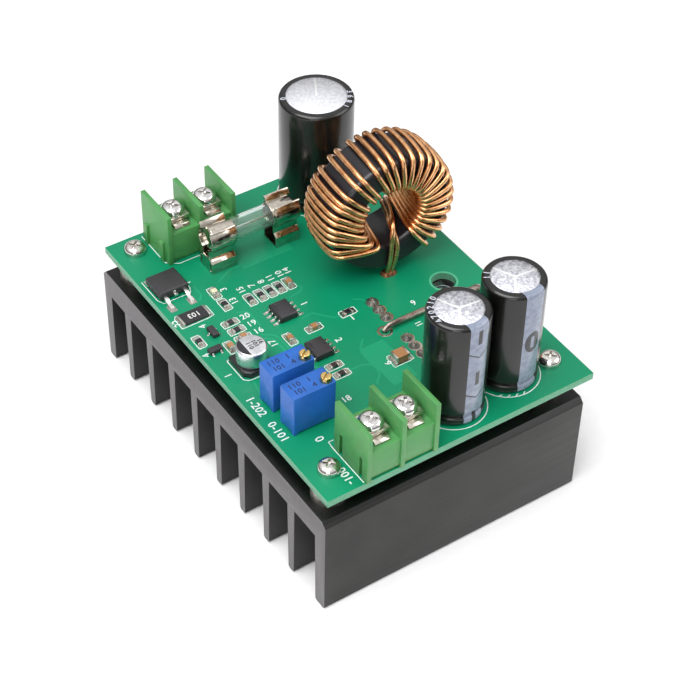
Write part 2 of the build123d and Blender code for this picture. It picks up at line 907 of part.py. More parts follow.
def trimmer_screw(front):
    x, y = trimmer_screw_place(front)
    top = trimmer_top + trimmer_screw_proud
    screw = rod(x, y, trimmer_top - trimmer_screw_depth + screw_running, top, trimmer_screw_radius)
    screw = chamfer(screw.edges().sort_by(Axis.Z)[-1], trimmer_edge)
    half = trimmer_slot_width / 2
    reach = trimmer_screw_radius + overrun
    slot = bar((-reach, -half, top - trimmer_slot_depth), (reach, half, top + overrun))
    return screw - Pos(x, y, 0) * Rot(0, 0, trimmer_slot_turn) * slot


def trimmer_pins():
    pins = []
    for front in trimmer_fronts:
        for x, y in trimmer_pins_at(front):
            pins.append(rod(x, y, board_back - lead_stub, trimmer_foot, trimmer_pin_radius))
    return group(pins)


# Surface parts

def small_can():
    x, y = small_can_place
    r = small_can_radius
    low = small_can_base_height
    inward, neck, shoulder = small_can_neck
    bevel = small_can_top_bevel
    return Pos(x, y, 0) * lathe([
        (0, low), (r - inward, low), (r - inward, low + neck), (r, low + shoulder),
        (r, small_can_height - bevel), (r - bevel, small_can_height), (0, small_can_height),
    ])


def small_can_foot():
    x, y = small_can_place
    half = small_can_base / 2
    foot = bar((x - half, y - half, small_can_tab[1]), (x + half, y + half, small_can_base_height))
    corners = foot.edges().filter_by(Axis.Z).sort_by(Axis.Y)[:2]
    return chamfer(corners, small_can_base_corner)


def small_can_tabs():
    # two flat tabs under the base, their ends showing in front and behind
    x, y = small_can_place
    width, thickness = small_can_tab
    inner = small_can_tab_gap
    outer = small_can_base / 2 + small_can_tab_out
    return group([
        bar((x - width / 2, y - outer, 0), (x + width / 2, y - inner, thickness)),
        bar((x - width / 2, y + inner, 0), (x + width / 2, y + outer, thickness)),
    ])


def chip(x, y):
    half_w = chip_width / 2
    half_l = chip_length / 2
    low = chip_standoff
    top = low + chip_height
    body = bar((x - half_w, y - half_l, low), (x + half_w, y + half_l, top))
    body = chamfer(body.faces().sort_by(Axis.Z)[-1].edges(), chip_bevel)
    inset, radius, depth = chip_mark
    return body - rod(x - half_w + inset, y + half_l - inset, top - depth, top + overrun, radius)


def chip_leads():
    leads = []
    for x, y in chip_places:
        for side in (-1, 1):
            for k in range(chip_leads_per_side):
                along = (k - (chip_leads_per_side - 1) / 2) * chip_lead_pitch
                leads.append(gull_lead(x + side * chip_width / 2, y + along, side, chip_lead_reach,
                                       chip_lead_width, chip_lead_thickness, chip_lead_level))
    return group(leads)


def gull_lead(x, y, side, reach, width, thick, level):
    # a bent foot: out of the body, down, and out again along the board
    low = level - thick
    under, over, heel, toe = [share * reach for share in gull_bends]
    section = make_face(Polyline(
        (0, level), (over, level), (toe, thick), (reach, thick), (reach, 0), (heel, 0), (under, low),
        (0, low), close=True,
    ))
    lead = extrude(Plane.XZ * section, width)
    lead = Pos(0, width / 2, 0) * lead
    if side < 0:
        lead = Rot(0, 0, 180) * lead
    return Pos(x, y, 0) * lead


def regulator_body():
    x, y = regulator_place
    half_w = regulator_width / 2
    half_l = regulator_length / 2
    low = regulator_tab_thickness
    block = bar((x - half_w, y - half_l, low), (x + half_w, y + half_l, regulator_height))
    return chamfer(block.faces().sort_by(Axis.Z)[-1].edges(), regulator_bevel)


def regulator_tab():
    x, y = regulator_place
    half = regulator_tab_width / 2
    rear = y + regulator_length / 2 + regulator_tab_reach
    return bar((x - half, y - regulator_tab_inner, 0), (x + half, rear, regulator_tab_thickness))


def regulator_leads():
    # two bent leads, and the cut stump of the middle one between them
    x, y = regulator_place
    front = y - regulator_length / 2
    thickness = regulator_tab_thickness
    level = regulator_lead_level
    leads = []
    for side in (-0.5, 0.5):
        lead = gull_lead(0, 0, 1, regulator_lead_reach, regulator_lead_width, thickness, level)
        leads.append(Pos(x + side * regulator_lead_pitch, front, 0) * Rot(0, 0, -90) * lead)
    half = regulator_lead_width / 2
    leads.append(bar((x - half, front - regulator_cut_lead, level - thickness), (x + half, front, level)))
    return group(leads)


def small_transistor(x, y, turn):
    half_l = transistor_length / 2
    half_w = transistor_width / 2
    low = transistor_standoff
    body = bar((-half_l, -half_w, low), (half_l, half_w, low + transistor_height))
    body = chamfer(body.faces().sort_by(Axis.Z)[-1].edges(), transistor_bevel)
    return Pos(x, y, 0) * Rot(0, 0, turn) * body


def small_transistors():
    return group([small_transistor(*place) for place in transistor_places])


def small_transistor_leads():
    leads = []
    for x, y, turn in transistor_places:
        for along, side in transistor_feet:
            foot = gull_lead(0, 0, 1, *transistor_foot)
            foot = Pos(along, side * transistor_width / 2, 0) * Rot(0, 0, 90 * side) * foot
            leads.append(Pos(x, y, 0) * Rot(0, 0, turn) * foot)
    return group(leads)


def chip_middle(x, y, size, along):
    # the body of a two-ended part between its metal ends
    length, width, height = size
    half_l = length / 2 - end_cap
    half_w = width / 2 - end_cap_skin
    block = bar((-half_l, -half_w, 0), (half_l, half_w, height - end_cap_skin))
    return Pos(x, y, 0) * Rot(0, 0, 90 if along else 0) * block


def chip_ends(x, y, size, along):
    length, width, height = size
    ends = []
    for side in (-1, 1):
        inner = side * (length / 2 - end_cap)
        outer = side * length / 2
        low, high = min(inner, outer), max(inner, outer)
        block = bar((low, -width / 2, 0), (high, width / 2, height))
        ends.append(Pos(x, y, 0) * Rot(0, 0, 90 if along else 0) * block)
    return ends


def chip_capacitors():
    parts = [chip_middle(x, y, capacitor_size, False) for x, y in capacitors_across]
    parts += [chip_middle(x, y, capacitor_size, True) for x, y in capacitors_along]
    parts.append(chip_middle(*big_chip_capacitor, big_chip_size, False))
    return group(parts)


def chip_resistors():
    parts = [chip_middle(x, y, resistor_size, False) for x, y in resistors_across]
    parts += [chip_middle(x, y, resistor_size, True) for x, y in resistors_along]
    parts.append(chip_middle(*power_resistor_place, power_resistor_size, False))
    return group(parts)


def surface_ends():
    ends = []
    for x, y in resistors_across:
        ends += chip_ends(x, y, resistor_size, False)
    for x, y in resistors_along:
        ends += chip_ends(x, y, resistor_size, True)
    for x, y in capacitors_across:
        ends += chip_ends(x, y, capacitor_size, False)
    for x, y in capacitors_along:
        ends += chip_ends(x, y, capacitor_size, True)
    ends += chip_ends(*big_chip_capacitor, big_chip_size, False)
    ends += chip_ends(*power_resistor_place, power_resistor_size, False)
    ends += chip_ends(*lamp_place, capacitor_size, True)
    return group(ends)


def lamp():
    x, y = lamp_place
    return chip_middle(x, y, capacitor_size, True)


def jumper():
    # a bare wire bridge lying along X just over the board
    y = jumper_start[1]
    low = board_back - lead_stub
    left = jumper_start[0]
    right = jumper_end_x
    short, long = jumper_bends
    return wire([
        Vector(left, y, low), Vector(left, y, jumper_foot), Vector(left + short, y, jumper_rise),
        Vector(left + long, y, jumper_crown), Vector(right - short, y, jumper_rise),
        Vector(right, y, jumper_foot), Vector(right, y, low),
    ], jumper_radius)


def cone(x, y, radius, tip, height):
    # a cone of solder standing on the board
    return Pos(x, y, 0) * Cone(radius, tip, height, align=(Align.CENTER, Align.CENTER, Align.MIN))


def solder_joints():
    # a small cone round each lead that comes up through the board
    joints = []
    for place in device_holes:
        for x, y in device_leads_at(*place):
            pin = Pos(x, y, 0) * Box(lead_thickness, lead_width, 2 * (solder_height + overrun))
            joints.append(cone(x, y, solder_radius, solder_tip_radius, solder_height) - pin)
    return group(joints)


def choke_solder():
    # one low mound round each pair of strands
    places = choke_pads_at()
    mounds = []
    for pair in (places[:2], places[2:]):
        left, right = [cone(*place, choke_solder_radius, choke_solder_tip, choke_solder_height)
                       for place in pair]
        mound = left + right
        for x, y in pair:
            mound -= rod(x, y, -overrun, choke_solder_height + overrun, wire_radius)
        mounds.append(mound)
    return group(mounds)


def main():
    os.makedirs("parts", exist_ok=True)
    write("heatsink", heatsink())
    write("board_standoffs", standoffs())
    write("board_screws", board_screws())
    write("circuit_board", circuit_board())
    for name, place in (("switch", device_holes[0]), ("rectifier", device_holes[1])):
        write(name + "_tab", device_tab(*place))
        write(name + "_body", device_body(*place))
        write(name + "_leads", device_leads(*place))
    write("insulating_pads", insulating_pads())
    write("tab_bushes", tab_bushes())
    write("tab_screws", tab_screws())
    write("choke_core", choke_core())
    write("choke_winding", choke_winding())
    write("input_capacitor_can", can(*input_can_place, input_can_radius, input_can_height))
    write("input_capacitor_sleeve", sleeve(*input_can_place, input_can_radius, input_can_height))
    for side, place in zip(("left", "right"), output_can_places):
        write("output_capacitor_can_" + side, can(*place, output_can_radius, output_can_height))
        write("output_capacitor_sleeve_" + side, sleeve(*place, output_can_radius, output_can_height))
    write("capacitor_leads", can_leads())
    middles = [pole_middle(pole) for pole in range(terminal_poles)]
    for name, seat in (("output", at_output), ("input", at_input)):
        write(name + "_terminal_housing", seat(terminal_housing()))
        write(name + "_terminal_contacts", group([seat(contact_strip(middle)) for middle in middles]))
        for side, middle in zip(("a", "b"), middles):
            write(name + "_clamp_plate_" + side, seat(clamp_plate(middle)))
            write(name + "_clamp_screw_" + side, seat(terminal_screw(middle)))
    write("fuse_tube", fuse_tube())
    write("fuse_caps", fuse_caps())
    write("fuse_element", fuse_element())
    write("fuse_clips", fuse_clips())
    for name, front in (("voltage", trimmer_fronts[0]), ("current", trimmer_fronts[1])):
        write(name + "_trimmer_body", trimmer_body(front))
        write(name + "_trimmer_screw", trimmer_screw(front))
    write("trimmer_pins", trimmer_pins())
    write("small_capacitor_can", small_can())
    write("small_capacitor_base", small_can_foot())
    write("small_capacitor_tabs", small_can_tabs())
    for name, place in zip(("amplifier", "controller"), chip_places):
        write(name + "_chip", chip(*place))
    write("chip_leads", chip_leads())
    write("regulator_body", regulator_body())
    write("regulator_tab", regulator_tab())
    write("regulator_leads", regulator_leads())
    write("small_transistors", small_transistors())
    write("small_transistor_leads", small_transistor_leads())
    write("chip_resistors", chip_resistors())
    write("chip_capacitors", chip_capacitors())
    write("surface_part_ends", surface_ends())
    write("indicator_lamp", lamp())
    write("jumper_wire", jumper())
    write("solder_joints", group([solder_joints(), choke_solder()]))


main()
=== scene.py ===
import json
from math import cos, pi, radians, sin

import bpy
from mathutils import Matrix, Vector

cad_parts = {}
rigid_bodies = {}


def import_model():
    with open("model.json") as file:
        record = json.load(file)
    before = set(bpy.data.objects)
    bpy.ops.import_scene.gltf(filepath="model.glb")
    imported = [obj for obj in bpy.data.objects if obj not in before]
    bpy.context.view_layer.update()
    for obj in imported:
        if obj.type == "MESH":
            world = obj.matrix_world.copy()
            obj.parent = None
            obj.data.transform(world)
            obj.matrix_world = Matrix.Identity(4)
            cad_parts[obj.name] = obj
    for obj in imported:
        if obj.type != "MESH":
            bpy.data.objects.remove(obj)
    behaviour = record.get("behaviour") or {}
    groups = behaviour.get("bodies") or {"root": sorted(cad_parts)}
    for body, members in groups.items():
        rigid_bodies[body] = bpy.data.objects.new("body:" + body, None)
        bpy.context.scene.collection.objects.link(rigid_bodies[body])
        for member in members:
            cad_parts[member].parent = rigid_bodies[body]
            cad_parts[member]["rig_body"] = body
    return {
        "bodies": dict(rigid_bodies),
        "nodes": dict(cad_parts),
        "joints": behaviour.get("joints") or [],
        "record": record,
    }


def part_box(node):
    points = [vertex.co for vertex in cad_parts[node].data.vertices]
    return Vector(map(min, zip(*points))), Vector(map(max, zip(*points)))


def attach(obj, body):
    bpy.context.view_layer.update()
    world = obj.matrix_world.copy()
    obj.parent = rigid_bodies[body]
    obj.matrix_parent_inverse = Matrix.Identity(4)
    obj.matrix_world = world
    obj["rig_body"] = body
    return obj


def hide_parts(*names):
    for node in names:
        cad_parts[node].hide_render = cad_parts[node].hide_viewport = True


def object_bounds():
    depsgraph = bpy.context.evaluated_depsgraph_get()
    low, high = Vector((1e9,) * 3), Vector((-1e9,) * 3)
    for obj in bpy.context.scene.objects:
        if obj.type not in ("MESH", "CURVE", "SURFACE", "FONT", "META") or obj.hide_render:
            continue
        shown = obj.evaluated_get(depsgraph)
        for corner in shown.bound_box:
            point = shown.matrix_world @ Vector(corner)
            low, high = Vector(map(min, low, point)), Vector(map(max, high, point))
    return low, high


bl_info = {
    "name": "Step-up Converter Module",
    "version": (1, 0, 0),
    "blender": (4, 5, 0),
    "location": "View3D > Sidebar > Converter",
    "description": "Dresses a step-up converter board and its heatsink in their finishes",
    "category": "Object",
}

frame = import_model()
cad_low, cad_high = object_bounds()

# Places on the board are millimetres from its front left corner, and heights from its upper face.
MM = 0.001
board_low, board_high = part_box("circuit_board")
BOARD_CORNER = Vector((board_low.x, board_low.y, board_high.z))
MAIN = "board_assembly"


# Colours and shader nodes

def linear(text, strength=1.0):
    """An sRGB hex colour as linear red, green, blue and alpha, made darker or paler by a strength."""
    values = [int(text[k:k + 2], 16) / 255 for k in (0, 2, 4)]
    light = [v / 12.92 if v <= 0.04045 else ((v + 0.055) / 1.055) ** 2.4 for v in values]
    return (*(strength * v for v in light), 1.0)


def fill(node, settings):
    """Sets a node's own values and its sockets. Another node joins a socket by its first output in use."""
    for key, value in settings.items():
        if isinstance(value, bpy.types.Node):
            value = next(output for output in value.outputs if output.enabled)
        if isinstance(key, str) and hasattr(node, key):
            setattr(node, key, value)
        elif isinstance(value, bpy.types.NodeSocket):
            node.id_data.links.new(value, node.inputs[key])
        else:
            node.inputs[key].default_value = value
    return node


def add(tree, kind, settings=None):
    """Adds one shader node with its settings and links."""
    return fill(tree.nodes.new("ShaderNode" + kind), settings or {})


def surface(name, settings):
    """A material with one main shader, whose sockets take the settings."""
    made = bpy.data.materials.new(name)
    made.use_nodes = True
    shader = fill(made.node_tree.nodes["Principled BSDF"], settings)
    return made, made.node_tree, shader


def dress(shader, colour, shine, bump=None):
    """Gives a shader its colour, its roughness and its bump.

    shine is a pattern and the roughness at its low and its high; bump is a pattern, its depth in millimetres
    and its strength.
    """
    tree = shader.id_data
    pattern, low, high = shine
    gloss = add(tree, "MapRange", {"Value": pattern, "To Min": low, "To Max": high})
    fill(shader, {"Base Color": colour, "Roughness": gloss})
    if bump:
        pattern, depth, strength = bump
        relief = add(tree, "Bump", {"Height": pattern, "Distance": depth * MM, "Strength": strength})
        fill(shader, {"Normal": relief})


def place_of(tree, centre=(0, 0, 0), turn=0, unit=(MM, MM, MM)):
    """Object coordinates about a centre, turned in degrees and counted in a unit of metres on each axis."""
    where = add(tree, "TexCoord").outputs["Object"]
    return add(tree, "Mapping", {"vector_type": "TEXTURE", "Vector": where, "Location": centre,
                                 "Rotation": (0, 0, radians(turn)), "Scale": unit})


def grain(tree, size, detail=2.0, stretch=(1, 1, 1)):
    """Noise whose blobs are about size millimetres across; a small stretch draws them out along its axis."""
    where = place_of(tree, unit=[size * MM / s for s in stretch])
    return add(tree, "TexNoise", {"Scale": 1.0, "Detail": detail, "Vector": where})


def blend_colours(tree, factor, dark, light, low=0.35, high=0.65):
    """A colour that runs from dark to light as the factor goes from low to high."""
    ramp = add(tree, "ValToRGB", {"Fac": factor})
    for stop, place, colour in zip(ramp.color_ramp.elements, (low, high), (dark, light)):
        stop.position = place
        stop.color = colour
    return ramp


def facing(tree, axis, low, high):
    """From 0 to 1 as the surface turns to face an axis, whichever way it looks along it."""
    normal = add(tree, "NewGeometry").outputs["Normal"]
    along = add(tree, "SeparateXYZ", {0: normal}).outputs[axis]
    squarely = add(tree, "Math", {"operation": "ABSOLUTE", 0: along})
    return add(tree, "MapRange", {"Value": squarely, "From Min": low, "From Max": high})


# Finishes. Pattern sizes are millimetres. Mould grain, drawn lines, glass cloth and handling marks are really
# finer than 0.1 mm and would not show, so they are drawn 0.2 to 0.9 mm coarse.

PAINTED_FRONT_DEPTH = 1.0  # depth that counts as the heatsink's front, which is painted paler as a painted highlight
FLUX_REACH = 3.0  # how far the brown spreads from the choke's foot
SEGMENT_FROM = 1.35  # from the small can's middle to its printed segment


def anodised_aluminium(name, side, end):
    """Black anodised extrusion with drawn lines and paler sawn ends; painted highlight on its front, painted
    shade behind.
    """
    made, tree, shader = surface(name, {"Metallic": 0.3})
    lines = grain(tree, 0.6, detail=3.0, stretch=(0.02, 1, 1))
    saw = grain(tree, 0.5, stretch=(1, 1, 0.06))
    # Painted shade: every face but the front is painted dark, 0.2 to 0.4 of the side colour.
    deep = blend_colours(tree, lines, linear(side, 0.2), linear(side, 0.4))
    # Painted highlight: the front face is painted paler, 1.1 to 1.7 of the side colour.
    painted_front_highlight = blend_colours(tree, grain(tree, 9.0, detail=3.0), linear(side, 1.1), linear(side, 1.7))
    sawn = blend_colours(tree, saw, linear(end, 0.85), linear(end, 0.95))
    # Where the painted highlight goes: faces near the front that look along Y.
    depth = add(tree, "SeparateXYZ", {0: place_of(tree, tuple(cad_low))}).outputs["Y"]
    near = add(tree, "Math", {"operation": "LESS_THAN", 0: depth, 1: PAINTED_FRONT_DEPTH})
    front = add(tree, "Math", {"operation": "MULTIPLY", 0: near, 1: facing(tree, "Y", 0.5, 0.9)})
    body = add(tree, "Mix", {"data_type": "RGBA", "Factor": front, 6: deep, 7: painted_front_highlight})
    ends = facing(tree, "X", 0.6, 0.9)
    whole = add(tree, "Mix", {"data_type": "RGBA", "Factor": ends, 6: body, 7: sawn})
    dress(shader, whole, shine=(lines, 0.34, 0.5), bump=(lines, 0.03, 0.6))
    return made


def solder_mask(name, mask, laminate):
    """Green lacquer over glass cloth: satin and a little uneven, with the bare laminate at the sawn edge."""
    made, tree, shader = surface(name, {"IOR": 1.4})
    cloud = grain(tree, 20.0)
    deep = (*(0.86 * c for c in mask[:3]), 1.0)
    lacquer = blend_colours(tree, cloud, deep, mask, 0.3, 0.75)
    strands = grain(tree, 0.4, stretch=(1, 1, 4))
    cut = blend_colours(tree, strands, linear(laminate, 0.7), linear(laminate))
    flat = facing(tree, "Z", 0.3, 0.6)
    whole = add(tree, "Mix", {"data_type": "RGBA", "Factor": flat, 6: cut, 7: lacquer})
    dress(shader, whole, shine=(cloud, 0.32, 0.44), bump=(grain(tree, 0.7, detail=1.0), 0.01, 0.3))
    return made


def plated_metal(name, colour, roughness=0.22, patch=0.9, dull=0.75):
    """Nickel or tin plate over steel or brass: bright, with faint cloudy patches and handling marks."""
    made, tree, shader = surface(name, {"Metallic": 1.0})
    cloud = grain(tree, patch, detail=4.0)
    plate = blend_colours(tree, cloud, linear(colour, dull), linear(colour))
    dress(shader, plate, shine=(cloud, roughness * 0.6, roughness * 1.5), bump=(cloud, 0.03, 0.4))
    return made


def moulded_plastic(name, colour, roughness=0.4, tone=0.86, pitch=0.3, depth=0.01, coat=0.0):
    """Injection moulded plastic or epoxy: fine spark-eroded grain from the mould, slightly uneven colour."""
    made, tree, shader = surface(name, {"IOR": 1.49, "Coat Weight": coat, "Coat Roughness": 0.1})
    fine = grain(tree, pitch)
    cloud = grain(tree, 4.0, detail=3.0)
    resin = blend_colours(tree, cloud, linear(colour, tone), linear(colour))
    dress(shader, resin, shine=(fine, roughness * 0.85, roughness * 1.15), bump=(fine, depth, 0.5))
    return made


def terminal_nylon(name, colour):
    """Green unfilled nylon: light soaks a little way in, so thin walls glow and corners stay deep."""
    soaked = {"IOR": 1.53, "Subsurface Weight": 0.25, "Subsurface Scale": 2 * MM}
    made, tree, shader = surface(name, soaked)
    nylon = blend_colours(tree, grain(tree, 5.0, detail=3.0), linear(colour, 0.85), linear(colour))
    dress(shader, nylon, shine=(grain(tree, 0.4), 0.34, 0.5), bump=(grain(tree, 0.3), 0.01, 0.5))
    return made


def enamelled_copper(name, pale, deep):
    """Drawn copper under clear enamel: warm metal under a glossy coat, darker where the enamel runs thick."""
    enamel = {"Metallic": 1.0, "Coat Weight": 0.5, "Coat Roughness": 0.08, "Coat IOR": 1.55}
    made, tree, shader = surface(name, enamel)
    cloud = grain(tree, 1.8, detail=3.0)
    dress(shader, blend_colours(tree, cloud, linear(deep), linear(pale)), shine=(cloud, 0.22, 0.34))
    return made


def solder(name, colour, flux):
    """Hand solder: dull grey and wrinkled, and brown with burnt enamel at the choke's front foot."""
    made, tree, shader = surface(name, {"Metallic": 0.9})
    cloud = grain(tree, 0.6, detail=4.0)
    grey = blend_colours(tree, cloud, linear(colour, 0.45), linear(colour))
    brown = blend_colours(tree, cloud, linear(flux, 0.5), linear(flux))
    foot = place_of(tree, on_board(*CHOKE_FOOT))
    reach = add(tree, "VectorMath", {"operation": "LENGTH", 0: foot})
    burnt = add(tree, "Math", {"operation": "LESS_THAN", 0: reach, 1: FLUX_REACH})
    whole = add(tree, "Mix", {"data_type": "RGBA", "Factor": burnt, 6: grey, 7: brown})
    dress(shader, whole, shine=(cloud, 0.25, 0.5), bump=(cloud, 0.06, 0.5))
    return made


def clear_glass(name):
    """Drawn glass tube: clear, faintly green, with the slight unevenness of a drawn wall."""
    made, tree, shader = surface(name, {"IOR": 1.47, "Transmission Weight": 0.95})
    wall = grain(tree, 3.0, detail=1.0, stretch=(0.1, 1, 1))
    dress(shader, linear("E9F4F0"), shine=(wall, 0.02, 0.06), bump=(wall, 0.02, 0.4))
    return made


def bar_marks(tree, side, up):
    """One bar and one chevron, again and again up a stripe."""
    fall = add(tree, "Math", {"operation": "MULTIPLY_ADD", 0: side, 1: -CHEVRON_LEAN, 2: up})
    fold = add(tree, "Math", {"operation": "MODULO", 0: fall, 1: MARK_PITCH})
    line = add(tree, "Math", {"operation": "COMPARE", 0: fold, 1: CHEVRON_HEIGHT, 2: CHEVRON_HALF})
    raised = add(tree, "Math", {"operation": "ADD", 0: up, 1: BAR_SHIFT})
    run = add(tree, "Math", {"operation": "MODULO", 0: raised, 1: MARK_PITCH})
    tall = add(tree, "Math", {"operation": "COMPARE", 0: run, 1: MARK_PITCH / 2, 2: BAR_REACH})
    thin = add(tree, "Math", {"operation": "LESS_THAN", 0: side, 1: BAR_HALF})
    bar = add(tree, "Math", {"operation": "MULTIPLY", 0: tall, 1: thin})
    return add(tree, "Math", {"operation": "MAXIMUM", 0: line, 1: bar})


def oval_mark(tree, side, up, centre):
    """One oval on a stripe, with a slot left open in its middle."""
    middle = centre + Vector((0, 0, OVAL_HEIGHT * MM))
    where = place_of(tree, middle, STRIPE_TURN, (1.0, OVAL_HALF * MM, OVAL_REACH * MM))
    reach = add(tree, "VectorMath", {"operation": "LENGTH", 0: where})
    oval = add(tree, "Math", {"operation": "LESS_THAN", 0: reach, 1: 1.0})
    thin = add(tree, "Math", {"operation": "LESS_THAN", 0: side, 1: SLOT_HALF})
    tall = add(tree, "Math", {"operation": "COMPARE", 0: up, 1: OVAL_HEIGHT, 2: SLOT_REACH})
    slot = add(tree, "Math", {"operation": "MULTIPLY", 0: thin, 1: tall})
    return add(tree, "Math", {"operation": "SUBTRACT", 0: oval, 1: slot})


def printed_sleeve(name, centre, mark):
    """Black shrunk plastic, with a grey stripe down one side where bars or an oval mark it."""
    made, tree, shader = surface(name, {"IOR": 1.42, "Coat Weight": 0.3, "Coat Roughness": 0.06})
    cloud = grain(tree, 6.0, detail=3.0)
    whole = blend_colours(tree, cloud, linear("080807"), linear("131211"))
    if mark:
        ahead, left, up = add(tree, "SeparateXYZ", {0: place_of(tree, centre, STRIPE_TURN)}).outputs
        side = add(tree, "Math", {"operation": "ABSOLUTE", 0: left})
        narrow = add(tree, "Math", {"operation": "LESS_THAN", 0: side, 1: STRIPE_HALF})
        before = add(tree, "Math", {"operation": "GREATER_THAN", 0: ahead, 1: 0.0})
        stripe = add(tree, "Math", {"operation": "MULTIPLY", 0: narrow, 1: before})
        dark = bar_marks(tree, side, up) if mark == "bars" else oval_mark(tree, side, up, centre)
        ink = blend_colours(tree, grain(tree, 1.2, detail=3.0), linear("757D90"), linear("8B93A5"))
        marked = add(tree, "Mix", {"data_type": "RGBA", "Factor": dark, 6: ink, 7: linear("232428")})
        whole = add(tree, "Mix", {"data_type": "RGBA", "Factor": stripe, 6: whole, 7: marked})
    ripple = grain(tree, 4.0, detail=1.0, stretch=(1, 1, 0.2))
    dress(shader, whole, shine=(cloud, 0.2, 0.3), bump=(ripple, 0.04, 0.4))
    return made


def scored_aluminium(name, centre, turns, dark):
    """The pressed end of a can: matt bright aluminium with the scored lines that let it open safely, sunk by a
    bump and painted near white as a painted highlight.
    """
    made, tree, shader = surface(name, {"Metallic": 0.6})
    groove_and_highlight = 0.0
    for turn in turns:
        ahead, left = add(tree, "SeparateXYZ", {0: place_of(tree, centre, turn)}).outputs[:2]
        near = add(tree, "Math", {"operation": "COMPARE", 0: left, 1: 0.0, 2: SCORE_HALF})
        before = add(tree, "Math", {"operation": "GREATER_THAN", 0: ahead, 1: 0.0})
        line = add(tree, "Math", {"operation": "MULTIPLY", 0: near, 1: before})
        groove_and_highlight = add(tree, "Math", {"operation": "MAXIMUM", 0: groove_and_highlight, 1: line})
    blotch = grain(tree, 0.6, detail=5.0)
    plain = blend_colours(tree, blotch, linear(dark), linear("ECECF1"))
    # Painted highlight: the scored lines are painted near white, as if their edges caught the light.
    whole = add(tree, "Mix", {"data_type": "RGBA", "Factor": groove_and_highlight, 6: plain, 7: linear("FCFCFD")})
    height = add(tree, "Math", {"operation": "SUBTRACT", 0: 1.0, 1: groove_and_highlight})
    dress(shader, whole, shine=(blotch, 0.34, 0.5), bump=(height, 0.12, 0.8))
    return made


def marked_aluminium(name, centre, turn):
    """The small can's bright drawn metal, with a black printed segment on its end at the negative side."""
    made, tree, shader = surface(name, {})
    ahead = add(tree, "SeparateXYZ", {0: place_of(tree, centre, turn)}).outputs["X"]
    beyond = add(tree, "Math", {"operation": "GREATER_THAN", 0: ahead, 1: SEGMENT_FROM})
    printed = add(tree, "Math", {"operation": "MULTIPLY", 0: beyond, 1: facing(tree, "Z", 0.8, 0.95)})
    bare = add(tree, "Math", {"operation": "SUBTRACT", 0: 1.0, 1: printed})
    rings = grain(tree, 0.6, stretch=(0.3, 0.3, 4))
    metal = blend_colours(tree, rings, linear("D2D4D9"), linear("F2F3F6"))
    whole = add(tree, "Mix", {"data_type": "RGBA", "Factor": printed, 6: metal, 7: linear("1C1C1F")})
    dress(shader, whole, shine=(rings, 0.22, 0.36))
    fill(shader, {"Metallic": bare})
    return made


def screen_ink(name, colour):
    """Screen printed ink: matt, a little thin at its edges."""
    made, tree, shader = surface(name, {"IOR": 1.5})
    thin = grain(tree, 0.3, detail=3.0)
    dress(shader, blend_colours(tree, thin, linear(colour, 0.8), linear(colour)), shine=(thin, 0.5, 0.65))
    return made


def pale_floor(name):
    """White paper sweep that keeps the soft shadow under the module, with a faint tooth."""
    made, tree, shader = surface(name, {"Roughness": 0.8})
    tooth = grain(tree, 2.0)
    fill(shader, {"Base Color": blend_colours(tree, tooth, linear("FFFFFF", 0.93), linear("FFFFFF", 0.95))})
    return made


# Shapes. Lengths are millimetres and turns are degrees, but for wire_mesh, which takes metres.

SAME_POINT = 0.001
FLAT_WITHIN, SHARP_FROM, SMOOTH_BELOW = 0.5, 30, 35
ARC_STEPS, TURNED_SIDES = 40, 96
INK_HEIGHT, INK_SPREAD, POUR_HEIGHT = 0.04, 0.02, 0.008


def deselect():
    """Leaves nothing selected, since an operator acts on all that is."""
    bpy.ops.object.select_all(action="DESELECT")


def pick(piece):
    """Makes a piece the only one selected, and active."""
    deselect()
    piece.select_set(True)
    bpy.context.view_layer.objects.active = piece


def finish_piece(piece, name, coat, body=MAIN, stands_for=(), smooth=SMOOTH_BELOW):
    """Names a piece, puts its place into its mesh, gives it its finish and lets it ride on its body."""
    pick(piece)
    bpy.ops.object.transform_apply(location=True, rotation=True, scale=True)
    piece.name = name
    piece.data.name = name
    piece.data.materials.clear()
    piece.data.materials.append(coat)
    bpy.ops.object.shade_smooth_by_angle(angle=radians(smooth))
    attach(piece, body)
    if stands_for:
        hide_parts(*stands_for)


def round_edges(piece, radius, segments):
    """Rounds every sharp edge."""
    pick(piece)
    bevel = piece.modifiers.new("edges", "BEVEL")
    bevel.width = radius * MM
    bevel.segments = segments
    bevel.limit_method = "ANGLE"
    bevel.angle_limit = radians(SHARP_FROM)
    bevel.use_clamp_overlap = True
    bpy.ops.object.modifier_apply(modifier=bevel.name)


def eased(node, coat, radius=0.0, segments=2):
    """A copy of a CAD node with its facets joined and its edges rounded, which stands for it."""
    source = frame["nodes"][node]
    piece = source.copy()
    piece.data = source.data.copy()
    piece.parent = None
    for key in list(piece.keys()):
        del piece[key]
    bpy.context.collection.objects.link(piece)
    pick(piece)
    bpy.ops.object.mode_set(mode="EDIT")
    bpy.ops.mesh.select_all(action="SELECT")
    bpy.ops.mesh.remove_doubles(threshold=SAME_POINT * MM)
    bpy.ops.mesh.dissolve_limited(angle_limit=radians(FLAT_WITHIN))
    bpy.ops.object.mode_set(mode="OBJECT")
    if radius:
        round_edges(piece, radius, segments)
    finish_piece(piece, node + "_dressed", coat, source["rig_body"], (node,))


def on_board(x, y, z=0.0):
    """A point in metres from millimetres along the board from its front left corner and up from its face."""
    return BOARD_CORNER + Vector((x, y, z)) * MM


def joined(pieces):
    """Joins pieces into the first."""
    deselect()
    for piece in pieces:
        piece.select_set(True)
    bpy.context.view_layer.objects.active = pieces[0]
    bpy.ops.object.join()
    return pieces[0]


